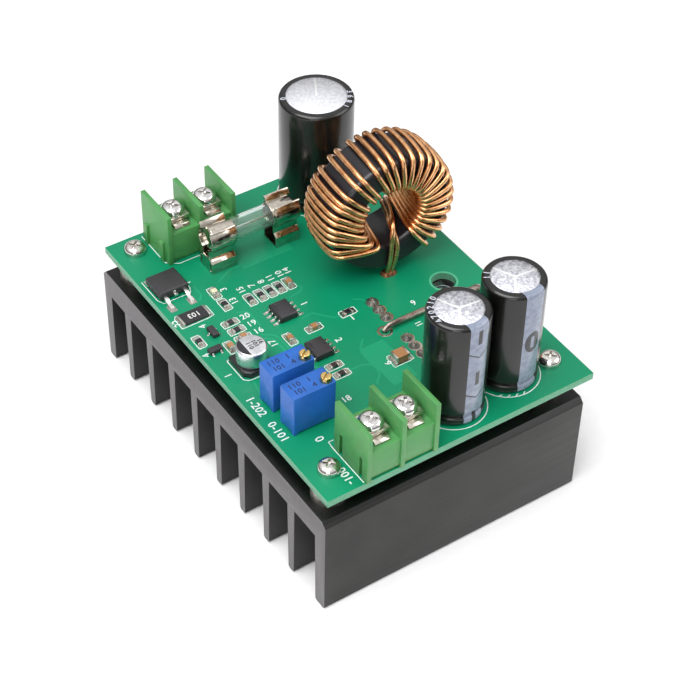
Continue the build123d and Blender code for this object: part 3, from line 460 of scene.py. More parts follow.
def wire_mesh(lines, radius, sides, steps, order):
    """Round wires along lines of points; order 4 bends softly round them and order 2 keeps their corners."""
    data = bpy.data.curves.new("wire", "CURVE")
    data.dimensions = "3D"
    for points in lines:
        spline = data.splines.new("NURBS")
        spline.points.add(len(points) - 1)
        for item, place in zip(spline.points, points):
            item.co = (*place, 1.0)
        spline.order_u = order
        spline.use_endpoint_u = True
        spline.resolution_u = steps
    data.bevel_depth = radius
    data.bevel_resolution = sides // 2 - 2
    data.use_fill_caps = True
    wire = bpy.data.objects.new("wire", data)
    bpy.context.collection.objects.link(wire)
    pick(wire)
    bpy.ops.object.convert(target="MESH")
    return bpy.context.object


def printed_lines(lines, width):
    """Flat ribbons of ink or copper on the board, from lines of (x, y) points."""
    places = [[on_board(x, y) for x, y in line] for line in lines]
    ribbon = wire_mesh(places, width / 2 * MM, sides=8, steps=4, order=2)
    bpy.ops.object.mode_set(mode="EDIT")
    bpy.ops.mesh.select_all(action="SELECT")
    bpy.ops.transform.resize(value=(1, 1, INK_HEIGHT / width), center_override=on_board(0, 0))
    bpy.ops.object.mode_set(mode="OBJECT")
    return ribbon


def circle(x, y, radius, first=0, last=360):
    """The (x, y) points of an arc."""
    angles = [radians(first + (last - first) * k / ARC_STEPS) for k in range(ARC_STEPS + 1)]
    return [(x + radius * cos(a), y + radius * sin(a)) for a in angles]


def outline(x, y, width, length):
    """The closed line round a rectangle about its middle."""
    w, h = width / 2, length / 2
    return [(x - w, y - h), (x + w, y - h), (x + w, y + h), (x - w, y + h), (x - w, y - h)]


def label(text, size, place, turn=0):
    """Plain numbers lying flat at a place on the board or above it."""
    deselect()
    bpy.ops.object.text_add(location=on_board(*place), rotation=(0, 0, radians(turn)))
    words = bpy.context.object.data
    words.body = text
    words.size = size * MM
    words.extrude = INK_HEIGHT / 2 * MM
    words.offset = INK_SPREAD * MM
    words.align_x = "CENTER"
    words.align_y = "CENTER"
    words.resolution_u = 2
    bpy.ops.object.convert(target="MESH")
    bpy.ops.object.transform_apply(location=True, rotation=True, scale=True)
    return bpy.context.object


def tile(x, y, width, length, height, base=0.0):
    """A flat block about its middle, on the board or above it."""
    deselect()
    bpy.ops.mesh.primitive_cube_add(size=1, location=on_board(x, y, base + height / 2))
    block = bpy.context.object
    block.scale = (width * MM, length * MM, height * MM)
    bpy.ops.object.transform_apply(location=True, rotation=True, scale=True)
    return block


def turned(profile, x, y):
    """A closed turned shape: a ring drawn through (radius, height) points and joined back to its start."""
    deselect()
    radius, height = profile[0]
    place = on_board(x, y, height)
    bpy.ops.mesh.primitive_circle_add(vertices=TURNED_SIDES, radius=radius * MM, location=place)
    piece = bpy.context.object
    bpy.ops.object.transform_apply(location=True, rotation=True, scale=True)
    bpy.ops.object.mode_set(mode="EDIT")
    bpy.ops.mesh.select_all(action="SELECT")
    for (r0, z0), (r1, z1) in zip(profile, profile[1:]):
        bpy.ops.mesh.extrude_edges_move(TRANSFORM_OT_translate={"value": (0, 0, (z1 - z0) * MM)})
        bpy.ops.transform.resize(value=(r1 / r0, r1 / r0, 1), center_override=on_board(x, y, z1))
    bpy.ops.mesh.select_all(action="DESELECT")
    bpy.ops.mesh.select_non_manifold()
    bpy.ops.mesh.bridge_edge_loops()
    bpy.ops.mesh.select_all(action="SELECT")
    bpy.ops.mesh.normals_make_consistent(inside=False)
    bpy.ops.object.mode_set(mode="OBJECT")
    return piece


# Sizes and colours that can be changed in the sidebar

class ConverterSizes(bpy.types.PropertyGroup):
    """Sizes that the dressing adds to the module."""
    wire_diameter: bpy.props.FloatProperty(
        name="Winding wire", description="Diameter of the wire with its enamel", default=1.08 * MM,
        unit="LENGTH")
    edge_round: bpy.props.FloatProperty(
        name="Moulded edge", description="Rounding of moulded edges", default=0.12 * MM, unit="LENGTH")
    ink_width: bpy.props.FloatProperty(
        name="Ink line", description="Width of the printed lines", default=0.2 * MM, unit="LENGTH")


class ConverterColours(bpy.types.PropertyGroup):
    """Colours of the main finishes."""
    mask: bpy.props.FloatVectorProperty(
        name="Solder mask", description="Colour of the board's lacquer", size=4, subtype="COLOR",
        default=linear("058B62"))


# Heatsink, standoffs and board screws

class CONVERTER_OT_heatsink(bpy.types.Operator):
    """Finishes the finned heatsink, its standoffs and the screws of the board"""
    bl_idname = "converter.heatsink"
    bl_label = "Heatsink"

    def execute(self, context):
        eased("heatsink", anodised_aluminium("black anodised aluminium", "1F1E1D", "676466"), 0.2)
        eased("board_standoffs", plated_metal("turned zinc plated steel", "B4B1A8", 0.35))
        eased("board_screws", plated_metal("nickel plated steel", "E4E0DA", 0.16), 0.1)
        return {"FINISHED"}


# Board: lacquer, copper under it, pads and print. Places are (x, y) from the front left corner.

LAMINATE = "63A583"
RESISTORS_ACROSS = ((10.0, 50.9), (10.0, 48.4), (31.7, 40.8), (20.8, 29.3), (20.8, 26.6))
RESISTORS_ALONG = ((11.9, 56.2), (17.1, 54.7), (19.6, 54.7), (21.9, 54.7), (24.1, 54.7), (1.9, 49.5))
CAPACITORS_ACROSS = ((10.0, 45.8), (23.4, 40.6))
CAPACITORS_ALONG = ((26.4, 54.7), (6.4, 44.8), (17.6, 40.4), (11.9, 60.3))
CHIPS = ((20.5, 47.5), (20.5, 34.3))
OUTPUT_CANS = ((34.1, 8.2), (48.1, 9.6))
INPUT_CAN = (47.2, 76.5)
DEVICES = ((53.7, 38.0), (53.7, 25.4))

TRACK_WIDTH, TRACK_TONE, TRACK_LIFT = 0.4, 1.2, 0.008
TRACKS = (
    ((22.8, 44.2), (25.5, 44.6), (27.5, 42.2), (28.6, 41.0), (30.4, 40.8)),
    ((15.2, 37.4), (17.6, 34.4), (17.6, 30.6), (19.4, 29.3)),
    ((12.6, 44.0), (15.0, 42.2), (15.0, 36.0)),
    ((13.4, 44.8), (16.0, 42.8), (16.0, 36.6)),
    ((24.4, 51.0), (27.2, 51.4), (28.2, 52.6), (26.6, 54.0)),
    ((22.6, 26.6), (26.0, 26.6), (30.6, 22.6)),
    ((3.4, 28.2), (4.6, 31.0), (5.2, 34.0)),
    ((14.4, 62.8), (18.0, 64.8), (24.0, 64.8)),
    ((12.6, 53.0), (14.8, 52.0), (14.8, 47.0)),
    ((8.2, 60.0), (9.4, 61.2), (9.4, 64.4)),
    ((34.8, 43.6), (36.6, 42.2), (36.6, 40.8)),
    ((25.0, 20.6), (27.4, 22.8), (27.4, 30.0), (29.8, 32.6)),
)
# Pours, pads and frames are x, y, width, length; rings are x, y, radius.
# The first patch, under the fuse, is a painted reflection of the fuse's glass; the second is copper under the
# lacquer.
POURS_AND_GLASS_REFLECTION = ((27.0, 67.9, 12.0, 9.0), (30.4, 24.4, 5.6, 12.0))
ACCESS_RING = 2.85

PART_END, PART_PAD = 1.05, (1.1, 1.45)
CHIP_ROW, CHIP_PITCH, CHIP_PAD = 2.75, 1.27, (1.5, 0.62)
LARGE_RESISTOR = (4.8, 56.5)
OTHER_PADS = (
    (*LARGE_RESISTOR, 7.0, 3.3), (33.0, 24.1, 4.0, 2.9), (4.6, 68.4, 6.4, 5.6),
    (2.315, 60.9, 1.6, 2.2), (6.885, 60.9, 1.6, 2.2),
)
DEVICE_LEADS, LEAD_PITCH, LEAD_RING = 16.1, 2.6, 1.15
PIN_RINGS = ((34.9, 32.1, 1.35), (58.3, 32.1, 1.35), (17.4, 67.9, 0.95), (33.0, 67.9, 0.95))
RING_WIDTH = 0.55

PART_FRAME = (3.7, 1.9)
OTHER_FRAMES = ((*LARGE_RESISTOR, 7.5, 3.9), (33.0, 24.1, 4.7, 3.4))
CAN_RING, CAN_RING_FIRST, CAN_RING_LAST, INPUT_RING = 6.95, 150, 390, 8.35
CHIP_BAR, CHIP_BAR_HALF = 22.7, 2.1
PRINTED_LINES = (
    ((8.2, 84.0), (8.2, 72.2), (25.0, 72.2)),
    ((8.3, 0.4), (8.3, 12.6), (9.6, 12.6)),
    ((1.0, 71.2), (1.0, 63.1), (8.6, 63.1), (8.6, 71.2)),
    ((3.7, 40.6), (3.7, 35.6), (4.7, 34.7), (9.9, 34.7),
     (10.9, 35.6), (10.9, 41.9), (3.7, 41.9), (3.7, 40.6)),
    ((41.2, 30.6), (42.6, 30.6)),
    ((41.2, 29.9), (42.6, 29.9)),
)
TICK_FROM, TICK_TO, TICK_LEAN, TICK_TURNS = 6.3, 6.9, 0.1, (-132, -118, -104, -90)
NUMBER_SIZE = 2.1
NUMBERS = (  # text, x, y, turn
    ("20", 13.6, 51.0, 0), ("19", 13.6, 48.5, 0), ("16", 13.6, 45.9, 0), ("1", 25.6, 47.8, -90),
    ("2", 25.6, 35.0, -90), ("1", 31.6, 38.9, 0), ("15", 17.1, 58.2, 90), ("7", 19.6, 58.2, 90),
    ("8", 21.9, 58.2, 90), ("11", 24.1, 58.2, 90), ("10", 26.4, 58.2, 90), ("3", 14.1, 60.3, 90),
    ("13", 14.1, 56.2, 90), ("1", 8.9, 66.0, 90), ("22", 0.9, 56.6, 90), ("4", 4.9, 53.0, 90),
    ("4", 1.2, 45.4, 90), ("18", 17.7, 20.3, 0), ("6", 30.3, 24.2, 90), ("23", 17.3, 27.6, 0),
    ("1", 1.9, 38.2, 90), ("17", 14.2, 41.2, 90), ("9", 44.6, 35.9, 0), ("14", 28.2, 58.2, 90),
)
LARGE_NUMBERS = (  # text, size, x, y
    ("1-202", 2.5, 1.9, 28.0), ("0-101", 2.5, 1.9, 20.0), ("001-", 2.5, 6.4, 3.6), ("0", 2.6, 7.4, 14.2),
)


class CONVERTER_OT_board(bpy.types.Operator):
    """Lacquers the board, lays its copper and pads and prints its lines and numbers"""
    bl_idname = "converter.board"
    bl_label = "Board"

    def execute(self, context):
        mask = tuple(context.scene.converter_colours.mask)
        eased("circuit_board", solder_mask("green solder mask", mask, LAMINATE), 0.06, 1)
        self.copper(mask)
        self.pads()
        self.screen_print(context.scene.converter_sizes.ink_width / MM)
        return {"FINISHED"}

    def copper(self, mask):
        """Tracks and a pour that show as paler lines through the lacquer, a paler patch under the fuse that is
        a painted reflection of its glass, and bare rings round the access holes.
        """
        pale = (*(min(1.0, TRACK_TONE * c + TRACK_LIFT) for c in mask[:3]), 1.0)
        tracks = [printed_lines(TRACKS, TRACK_WIDTH)]
        # The first of these patches is a painted reflection under the fuse.
        tracks += [tile(*pour, POUR_HEIGHT) for pour in POURS_AND_GLASS_REFLECTION]
        finish_piece(joined(tracks), "tracks", solder_mask("lacquer over copper", pale, LAMINATE))
        rings = printed_lines([circle(x, y, ACCESS_RING) for x, y in DEVICES], TRACK_WIDTH)
        finish_piece(rings, "access_hole_rings", screen_ink("bare laminate ring", "52AE85"))

    def pads(self):
        """Tinned pads under the leads and rings round the pins."""
        tin = plated_metal("hot tinned copper", "C9C5BE", 0.28)
        spots = []
        for x, y in RESISTORS_ACROSS + CAPACITORS_ACROSS:
            spots += [(x + side * PART_END, y, *PART_PAD) for side in (-1, 1)]
        for x, y in RESISTORS_ALONG + CAPACITORS_ALONG:
            spots += [(x, y + side * PART_END, *reversed(PART_PAD)) for side in (-1, 1)]
        for x, y in CHIPS:
            spots += [(x + side * CHIP_ROW, y + (k - 1.5) * CHIP_PITCH, *CHIP_PAD)
                      for side in (-1, 1) for k in range(4)]
        spots += OTHER_PADS
        finish_piece(joined([tile(*spot, INK_HEIGHT) for spot in spots]), "pads", tin)
        rings = [circle(x - DEVICE_LEADS, y + k * LEAD_PITCH, LEAD_RING)
                 for x, y in DEVICES for k in (-1, 0, 1)]
        rings += [circle(*ring) for ring in PIN_RINGS]
        finish_piece(printed_lines(rings, RING_WIDTH), "pin_rings", tin)

    def screen_print(self, width):
        """White lines round the parts, and a plain number beside each."""
        lines = [outline(x, y, *PART_FRAME) for x, y in RESISTORS_ACROSS + CAPACITORS_ACROSS]
        lines += [outline(x, y, *reversed(PART_FRAME)) for x, y in RESISTORS_ALONG + CAPACITORS_ALONG]
        lines += [outline(*frame) for frame in OTHER_FRAMES]
        lines += [circle(x, y, CAN_RING, CAN_RING_FIRST, CAN_RING_LAST) for x, y in OUTPUT_CANS]
        lines += [circle(*INPUT_CAN, INPUT_RING)]
        lines += [[(CHIP_BAR, y - CHIP_BAR_HALF), (CHIP_BAR, y + CHIP_BAR_HALF)] for x, y in CHIPS]
        lines += PRINTED_LINES
        x, y = OUTPUT_CANS[1]
        for turn in TICK_TURNS:
            inner, outer = radians(turn), radians(turn) - TICK_LEAN
            lines.append([(x + TICK_FROM * cos(inner), y + TICK_FROM * sin(inner)),
                          (x + TICK_TO * cos(outer), y + TICK_TO * sin(outer))])
        strokes = [printed_lines(lines, width)]
        strokes += [label(text, NUMBER_SIZE, (x, y), turn) for text, x, y, turn in NUMBERS]
        strokes += [label(text, size, (x, y), -90) for text, size, x, y in LARGE_NUMBERS]
        finish_piece(joined(strokes), "board_print", screen_ink("white screen print", "E9EEEC"))


# Power devices under the board

class CONVERTER_OT_devices(bpy.types.Operator):
    """Finishes the two power devices, their pads, bushes and screws"""
    bl_idname = "converter.devices"
    bl_label = "Power devices"

    def execute(self, context):
        epoxy = moulded_plastic("black moulding epoxy under the board", "2B2A2C", 0.5)
        tin = plated_metal("tinned copper tab", "BDBAB3", 0.3)
        for name in ("switch", "rectifier"):
            eased(name + "_body", epoxy, 0.08)
            eased(name + "_tab", tin, 0.05)
            eased(name + "_leads", tin, 0.03, 1)
        eased("insulating_pads", moulded_plastic("grey silicone sheet", "7E7F80", 0.75, 0.8))
        eased("tab_bushes", moulded_plastic("natural nylon", "D2D0C4", 0.45), 0.05, 1)
        eased("tab_screws", plated_metal("zinc plated steel", "B9BCC4", 0.2), 0.08)
        return {"FINISHED"}


# Choke: the winding follows the values of the part's own source, in millimetres and degrees

CHOKE_MIDDLE, CHOKE_TURNED, CHOKE_CLEAR = (46.06, 51.25), -4.6, 0.3
CHOKE_FOOT = (45.6, 46.3)
CORE_OUTER, CORE_INNER, CORE_WIDTH = 13.45, 7.25, 11.1
RIM_GAP, FACE_GAP, EYE_GAP = 0.8, 0.2, 0.15
RIM_BEND, EYE_BEND = 1.64, 1.05
# Pairs on the right have a first angle and a step on the rim and in the eye, and the spread of their strands at
# both. The one at the top and those on the left have their rim and eye angles.
RIGHT_TURNS, RIGHT_RIM, RIGHT_EYE, RIGHT_SPREADS = 8, (-137.8, 19.4), (-136.3, 17.8), (9.6, 8.9)
TOP_TURN, TOP_SPREADS = (14.5, 6.9), (8.4, 9.4)
LEFT_TURNS = ((35.7, 34.0), (54.4, 60.9), (67.0, 80.2), (79.5, 101.0), (94.0, 123.4), (111.5, 143.6))
LEFT_SPREADS, RIDING_TURNS, RIDING_LIFT = (7.4, 10.2), 3, 0.9
EYE_SLANT, LEAD_EYE = 15.0, -140.3
LEAD_LOW, LEAD_LOW_SPREAD = (0.4, -6.9, 6.3), 1.7
LEAD_CROSS, LEAD_CROSS_SPREAD = (-0.1, -2.5, 5.5), 1.24
LEAD_MID, LEAD_MID_SPREAD = (2.2, -3.1, 0.0), (0.5, 1.1)
# Feet of the leads: places along the core, then how far before or behind it, and how far apart
FRONT_PAD, REAR_PAD, PAD_REACH, PAD_SPREAD = -0.1, -2.9, 5.0, 1.1
LEAD_STRAIGHT, LEAD_BOW, BOW_REACH, WIRE_TAIL = 0.9, 3.4, 6.4, 2.4
UNEVEN = (0.4, -0.3, 0.1, -0.5, 0.3, 0.5, -0.2, 0.0, 0.4, -0.4, 0.2, -0.1, 0.5, -0.3, 0.1)
BARE_RADIUS = 0.5
# The bent wire runs a little inside its points, so these stand off by this much.
STAND_OFF = 0.12


class Winding:
    """The two strands of the choke as lines of points about the middle of the standing ring."""

    def __init__(self, wire):
        self.outer = CORE_OUTER + RIM_GAP + wire + STAND_OFF
        self.inner = CORE_INNER - EYE_GAP - wire - STAND_OFF
        self.half = CORE_WIDTH / 2 + FACE_GAP + wire + STAND_OFF
        self.height = CORE_OUTER + RIM_GAP + 2 * wire + CHOKE_CLEAR

    def place(self, x, up, depth):
        """From the ring's own directions, depth towards the front, to a place on the board."""
        turn = radians(CHOKE_TURNED)
        return on_board(CHOKE_MIDDLE[0] + x * cos(turn) + depth * sin(turn),
                        CHOKE_MIDDLE[1] + x * sin(turn) - depth * cos(turn), self.height + up)

    def ring(self, angle, radius, depth):
        """A point at an angle from the ring's top, positive towards the board's left edge."""
        a = radians(angle)
        return self.place(-radius * sin(a), radius * cos(a), depth)

    def front_lead(self, side):
        """From the front foot up into the eye, where the two strands cross."""
        pad = FRONT_PAD - side * PAD_SPREAD
        x, y, z = LEAD_LOW
        over = side * LEAD_CROSS_SPREAD
        return [
            self.place(pad, -WIRE_TAIL - self.height, PAD_REACH),
            self.place(pad, LEAD_STRAIGHT - self.height, PAD_REACH),
            self.place(pad, LEAD_BOW - self.height, BOW_REACH),
            self.place(x - side * LEAD_LOW_SPREAD, y, z),
            self.place(LEAD_CROSS[0], LEAD_CROSS[1] + over, LEAD_CROSS[2] + over),
            self.place(LEAD_MID[0] + side * LEAD_MID_SPREAD[0],
                       LEAD_MID[1] + side * LEAD_MID_SPREAD[1], LEAD_MID[2]),
        ]

    def eye_end(self, angle, lift, face):
        """Round the edge of the eye; face is 1 at the front and -1 at the back."""
        return [self.ring(angle, self.inner + EYE_BEND, face * (self.half + lift)),
                self.ring(angle, self.inner, face * (self.half + lift - EYE_BEND))][::face]

    def turns(self):
        """Rim angle, eye angle and their spreads for each pair, from lower right over the top."""
        pairs = [(RIGHT_RIM[0] + k * RIGHT_RIM[1], RIGHT_EYE[0] + k * RIGHT_EYE[1], *RIGHT_SPREADS)
                 for k in range(RIGHT_TURNS)]
        return pairs + [(*TOP_TURN, *TOP_SPREADS)] + [(rim, eye, *LEFT_SPREADS) for rim, eye in LEFT_TURNS]

    def strand(self, side):
        """One strand, -0.5 or 0.5 from the middle of its pair, as uneven as hand winding leaves it."""
        points = self.front_lead(side)
        back, lift = LEAD_EYE + side * RIGHT_SPREADS[1], 0.0
        pairs = self.turns()
        for k, (rim, eye, rim_spread, eye_spread) in enumerate(pairs):
            rim += side * rim_spread + UNEVEN[k]
            eye += side * eye_spread
            points += self.eye_end(back, lift, -1) + [
                self.ring(rim, self.outer - RIM_BEND, -self.half),
                self.ring(rim, self.outer, RIM_BEND - self.half),
                self.ring(rim, self.outer, self.half - RIM_BEND),
                self.ring(rim, self.outer - RIM_BEND, self.half)]
            lift = RIDING_LIFT if side > 0 and k >= len(pairs) - RIDING_TURNS else 0.0
            points += self.eye_end(eye, lift, 1)
            back = eye + EYE_SLANT
        pad = REAR_PAD + side * PAD_SPREAD
        return points + self.eye_end(back, lift, -1) + [
            self.place(pad, LEAD_BOW - self.height, -BOW_REACH),
            self.place(pad, LEAD_STRAIGHT - self.height, -PAD_REACH),
            self.place(pad, -WIRE_TAIL - self.height, -PAD_REACH)]


class CONVERTER_OT_choke(bpy.types.Operator):
    """Winds the choke's two strands in round wire and coats its core"""
    bl_idname = "converter.choke"
    bl_label = "Choke"

    def execute(self, context):
        winding = Winding(BARE_RADIUS)
        strands = [winding.strand(side) for side in (-0.5, 0.5)]
        radius = context.scene.converter_sizes.wire_diameter / 2
        wires = wire_mesh(strands, radius, sides=12, steps=5, order=4)
        copper = enamelled_copper("enamelled copper wire", "EDB47E", "D2935E")
        finish_piece(wires, "choke_strands", copper, stands_for=("choke_winding",), smooth=60)
        powder = moulded_plastic("epoxy coated powder core", "1D1C22", 0.32, tone=0.7, pitch=0.6, depth=0.03)
        eased("choke_core", powder)
        return {"FINISHED"}


# Capacitors

OUTPUT_RADIUS, OUTPUT_HEIGHT = 6.3, 25.3
INPUT_RADIUS, INPUT_HEIGHT = 8.0, 26.0
SMALL_CAN, SMALL_HEIGHT = (7.3, 38.3), 5.41
SLEEVE_WALL, SLEEVE_CURL, SHOULDER = 0.2, 1.3, 0.9
SLEEVE_FOOT = ((0.5, 0.3), (0.1, 0.5), (0.0, 0.8))  # inset and height
TOP_INSET, TOP_DROP, FOOT_INSET, FOOT_LOW, FOOT_RISE = 0.8, 1.0, 0.5, 0.32, 0.8
GROOVE_HEIGHT, GROOVE_HALF, GROOVE_DEPTH, GROOVE_STEPS, SHOULDER_STEPS = 2.6, 0.8, 0.5, 12, 6
STRIPE_HALF, STRIPE_TURN, MARK_PITCH = 2.2, -85, 10.4
CHEVRON_HEIGHT, CHEVRON_LEAN, CHEVRON_HALF = 6.9, 0.62, 0.16
BAR_SHIFT, BAR_HALF, BAR_REACH = 3.7, 0.48, 1.7
OVAL_HEIGHT, OVAL_HALF, OVAL_REACH, SLOT_HALF, SLOT_REACH = 13.0, 1.75, 2.6, 0.4, 1.424
SCORE_HALF, OUTPUT_SCORES, INPUT_SCORES = 0.22, (-125, -5, 115), (60,)
OUTPUT_CAN = (OUTPUT_RADIUS, OUTPUT_HEIGHT, OUTPUT_SCORES, "ABACB6")
CANS = (  # name, end of the name, place, mark, radius, height, scored lines, dark of the metal
    ("output_capacitor", "_left", OUTPUT_CANS[0], "bars", *OUTPUT_CAN),
    ("output_capacitor", "_right", OUTPUT_CANS[1], "oval", *OUTPUT_CAN),
    ("input_capacitor", "", INPUT_CAN, "", INPUT_RADIUS, INPUT_HEIGHT, INPUT_SCORES, "D4D5DB"),
)
RIM_SIZE, RIM_INSET, RIM_RISE, RIM_STEP = 1.8, 1.0, 0.01, 14
RIM_NUMBERS = (  # place, radius, height, turn of the first digit, digits
    (OUTPUT_CANS[0], OUTPUT_RADIUS, OUTPUT_HEIGHT, 190, "470210"),
    (OUTPUT_CANS[1], OUTPUT_RADIUS, OUTPUT_HEIGHT, 152, "11"),
    (INPUT_CAN, INPUT_RADIUS, INPUT_HEIGHT, -22, "3681"),
    (INPUT_CAN, INPUT_RADIUS, INPUT_HEIGHT, 158, "0"),
)
SMALL_SIZE, SMALL_NUMBERS = 1.4, (("110", 6.9), ("101", 8.1), ("16", 9.3))


def sleeve_profile(radius, height):
    """The section of a shrunk sleeve: foot, crimp groove, wall, shoulder and curl, then back inside."""
    metal = radius - SLEEVE_WALL
    under = height - SLEEVE_WALL
    foot = [(radius - inset, up) for inset, up in SLEEVE_FOOT]
    groove = [(radius - GROOVE_DEPTH / 2 * (1 - cos(a)), GROOVE_HEIGHT + GROOVE_HALF * (a - pi) / pi)
              for a in [2 * pi * k / GROOVE_STEPS for k in range(GROOVE_STEPS + 1)]]
    shoulder = [(radius - SHOULDER + SHOULDER * cos(a), height - SHOULDER + SHOULDER * sin(a))
                for a in [pi / 2 * k / SHOULDER_STEPS for k in range(SHOULDER_STEPS + 1)]]
    curl = [(metal - SLEEVE_CURL, height), (metal - SLEEVE_CURL, under), (metal - TOP_INSET, under)]
    inside = [(metal, height - TOP_DROP), (metal, FOOT_RISE), (metal - FOOT_INSET, FOOT_LOW)]
    return foot + groove + shoulder + curl + inside


class CONVERTER_OT_capacitors(bpy.types.Operator):
    """Sleeves the three tall capacitors and finishes their cans and the small one"""
    bl_idname = "converter.capacitors"
    bl_label = "Capacitors"

    def execute(self, context):
        for name, end, place, mark, radius, height, turns, dark in CANS:
            sleeve = turned(sleeve_profile(radius, height), *place)
            black = printed_sleeve("black shrunk sleeve" + end, on_board(*place), mark)
            stands_for = (name + "_sleeve" + end,)
            finish_piece(sleeve, name + "_sleeve_turned" + end, black, stands_for=stands_for, smooth=50)
            bright = scored_aluminium("pressed can end" + end, on_board(*place), turns, dark)
            eased(name + "_can" + end, bright)
        self.rim_numbers()
        drawn = marked_aluminium("bright drawn aluminium", on_board(*SMALL_CAN), 180)
        eased("small_capacitor_can", drawn, 0.05)
        eased("small_capacitor_base", moulded_plastic("black base plastic", "1B1A1C", 0.4), 0.06)
        tin = plated_metal("tinned steel lead", "BEBAB4", 0.3)
        eased("small_capacitor_tabs", tin)
        eased("capacitor_leads", tin)
        digits = [label(text, SMALL_SIZE, (x, SMALL_CAN[1], SMALL_HEIGHT), -90) for text, x in SMALL_NUMBERS]
        finish_piece(joined(digits), "small_can_numbers", screen_ink("black can print", "202024"))
        return {"FINISHED"}

    def rim_numbers(self):
        """Plain pale numbers round the curled rims."""
        marks = []
        for (x, y), radius, height, first, text in RIM_NUMBERS:
            for k, digit in enumerate(text):
                turn = first - k * RIM_STEP
                reach = radius - RIM_INSET
                place = (x + reach * cos(radians(turn)), y + reach * sin(radians(turn)), height + RIM_RISE)
                marks.append(label(digit, RIM_SIZE, place, turn - 90))
        finish_piece(joined(marks), "rim_numbers", screen_ink("pale sleeve print", "C6CAD6"))


# Terminal blocks

class CONVERTER_OT_terminals(bpy.types.Operator):
    """Finishes the two screw terminal blocks"""
    bl_idname = "converter.terminals"
    bl_label = "Terminals"

    def execute(self, context):
        round_by = context.scene.converter_sizes.edge_round / MM
        green = terminal_nylon("green terminal nylon", "4C9251")
        nickel = plated_metal("bright nickel plate", "E6E4E2", 0.1)
        tin = plated_metal("tinned brass contact", "CFC9BC", 0.2)
        for side in ("output", "input"):
            eased(side + "_terminal_housing", green, round_by)
            eased(side + "_terminal_contacts", tin, 0.08)
            for letter in ("a", "b"):
                eased(side + "_clamp_plate_" + letter, tin, 0.08)
                eased(side + "_clamp_screw_" + letter, nickel, 0.1)
        return {"FINISHED"}


# Fuse

class CONVERTER_OT_fuse(bpy.types.Operator):
    """Finishes the glass fuse and its two clips"""
    bl_idname = "converter.fuse"
    bl_label = "Fuse"

    def execute(self, context):
        nickel = plated_metal("nickel plated spring brass", "CFC7BA", 0.14)
        eased("fuse_clips", nickel, 0.06)
        eased("fuse_caps", nickel, 0.08)
        eased("fuse_tube", clear_glass("fuse glass"))
        eased("fuse_element", plated_metal("tinned fuse wire", "B5B3AE", 0.3))
        return {"FINISHED"}


# Adjusters

ADJUSTER_TOP, ADJUSTER_SIZE = 9.61, 1.8
ADJUSTER_FRONTS = (("voltage", 17.4), ("current", 24.8))  # y of the front face, which the numbers' y adds to
ADJUSTER_NUMBERS = (("110", 6.0, 3.3), ("101", 6.2, 1.5), ("1", 9.2, 3.3), ("4", 9.4, 1.5))


class CONVERTER_OT_adjusters(bpy.types.Operator):
    """Finishes the two multi-turn adjusters and prints their tops"""
    bl_idname = "converter.adjusters"
    bl_label = "Adjusters"

    def execute(self, context):
        round_by = context.scene.converter_sizes.edge_round / MM
        blue = moulded_plastic("blue adjuster plastic", "2361B6", 0.36, tone=0.82)
        brass = plated_metal("turned brass", "EBCB84", 0.22)
        marks = []
        for name, front in ADJUSTER_FRONTS:
            eased(name + "_trimmer_body", blue, round_by)
            eased(name + "_trimmer_screw", brass, 0.05)
            for text, x, y in ADJUSTER_NUMBERS:
                marks.append(label(text, ADJUSTER_SIZE, (x, front + y, ADJUSTER_TOP)))
        finish_piece(joined(marks), "adjuster_numbers", screen_ink("dark adjuster print", "16244E"))
        eased("trimmer_pins", plated_metal("tinned pin", "BEBAB4", 0.3))
        return {"FINISHED"}


# Small surface parts, solder and the wire bridge

RESISTOR_TOP, RESISTOR_SIZE = 0.58, 1.9
CUT_LEAD = (4.6, 63.8, 0.5, 0.3, 0.3, 1.5)  # x, y, width, length, height, base


class CONVERTER_OT_small_parts(bpy.types.Operator):
    """Finishes the chips, resistors, capacitors, solder and the wire bridge"""
    bl_idname = "converter.small_parts"
    bl_label = "Small parts"

    def execute(self, context):
        epoxy = moulded_plastic("black moulding epoxy", "2F2D30", 0.45, tone=0.85, pitch=0.2, depth=0.02)
        for name in ("amplifier_chip", "controller_chip", "regulator_body", "small_transistors"):
            eased(name, epoxy, 0.07)
        tin = plated_metal("tinned copper lead", "F0EEEA", 0.2)
        for name in ("chip_leads", "regulator_leads", "regulator_tab", "small_transistor_leads"):
            eased(name, tin, 0.03, 1)
        eased("surface_part_ends", plated_metal("fired silver and tin", "CBC8C2", 0.3, patch=0.4), 0.06)
        eased("chip_resistors", moulded_plastic("black resistor film", "232227", 0.25), 0.03, 1)
        eased("chip_capacitors", moulded_plastic("tan ceramic", "A97A50", 0.35), 0.04, 1)
        resin = moulded_plastic("clear yellow lamp resin", "E3DAB8", 0.2, tone=0.9, coat=0.5)
        eased("indicator_lamp", resin, 0.05)
        eased("jumper_wire", plated_metal("dull tinned copper wire", "AFA096", 0.34, patch=1.0, dull=0.6))
        eased("solder_joints", solder("grey solder", "A9A19B", "9A6A4C"), 0.25, 3)
        value = label("103", RESISTOR_SIZE, (*LARGE_RESISTOR, RESISTOR_TOP), 180)
        finish_piece(value, "resistor_number", screen_ink("white resistor print", "E4E4E2"))
        finish_piece(tile(*CUT_LEAD), "regulator_cut_lead", tin)
        return {"FINISHED"}


# Stage, in metres

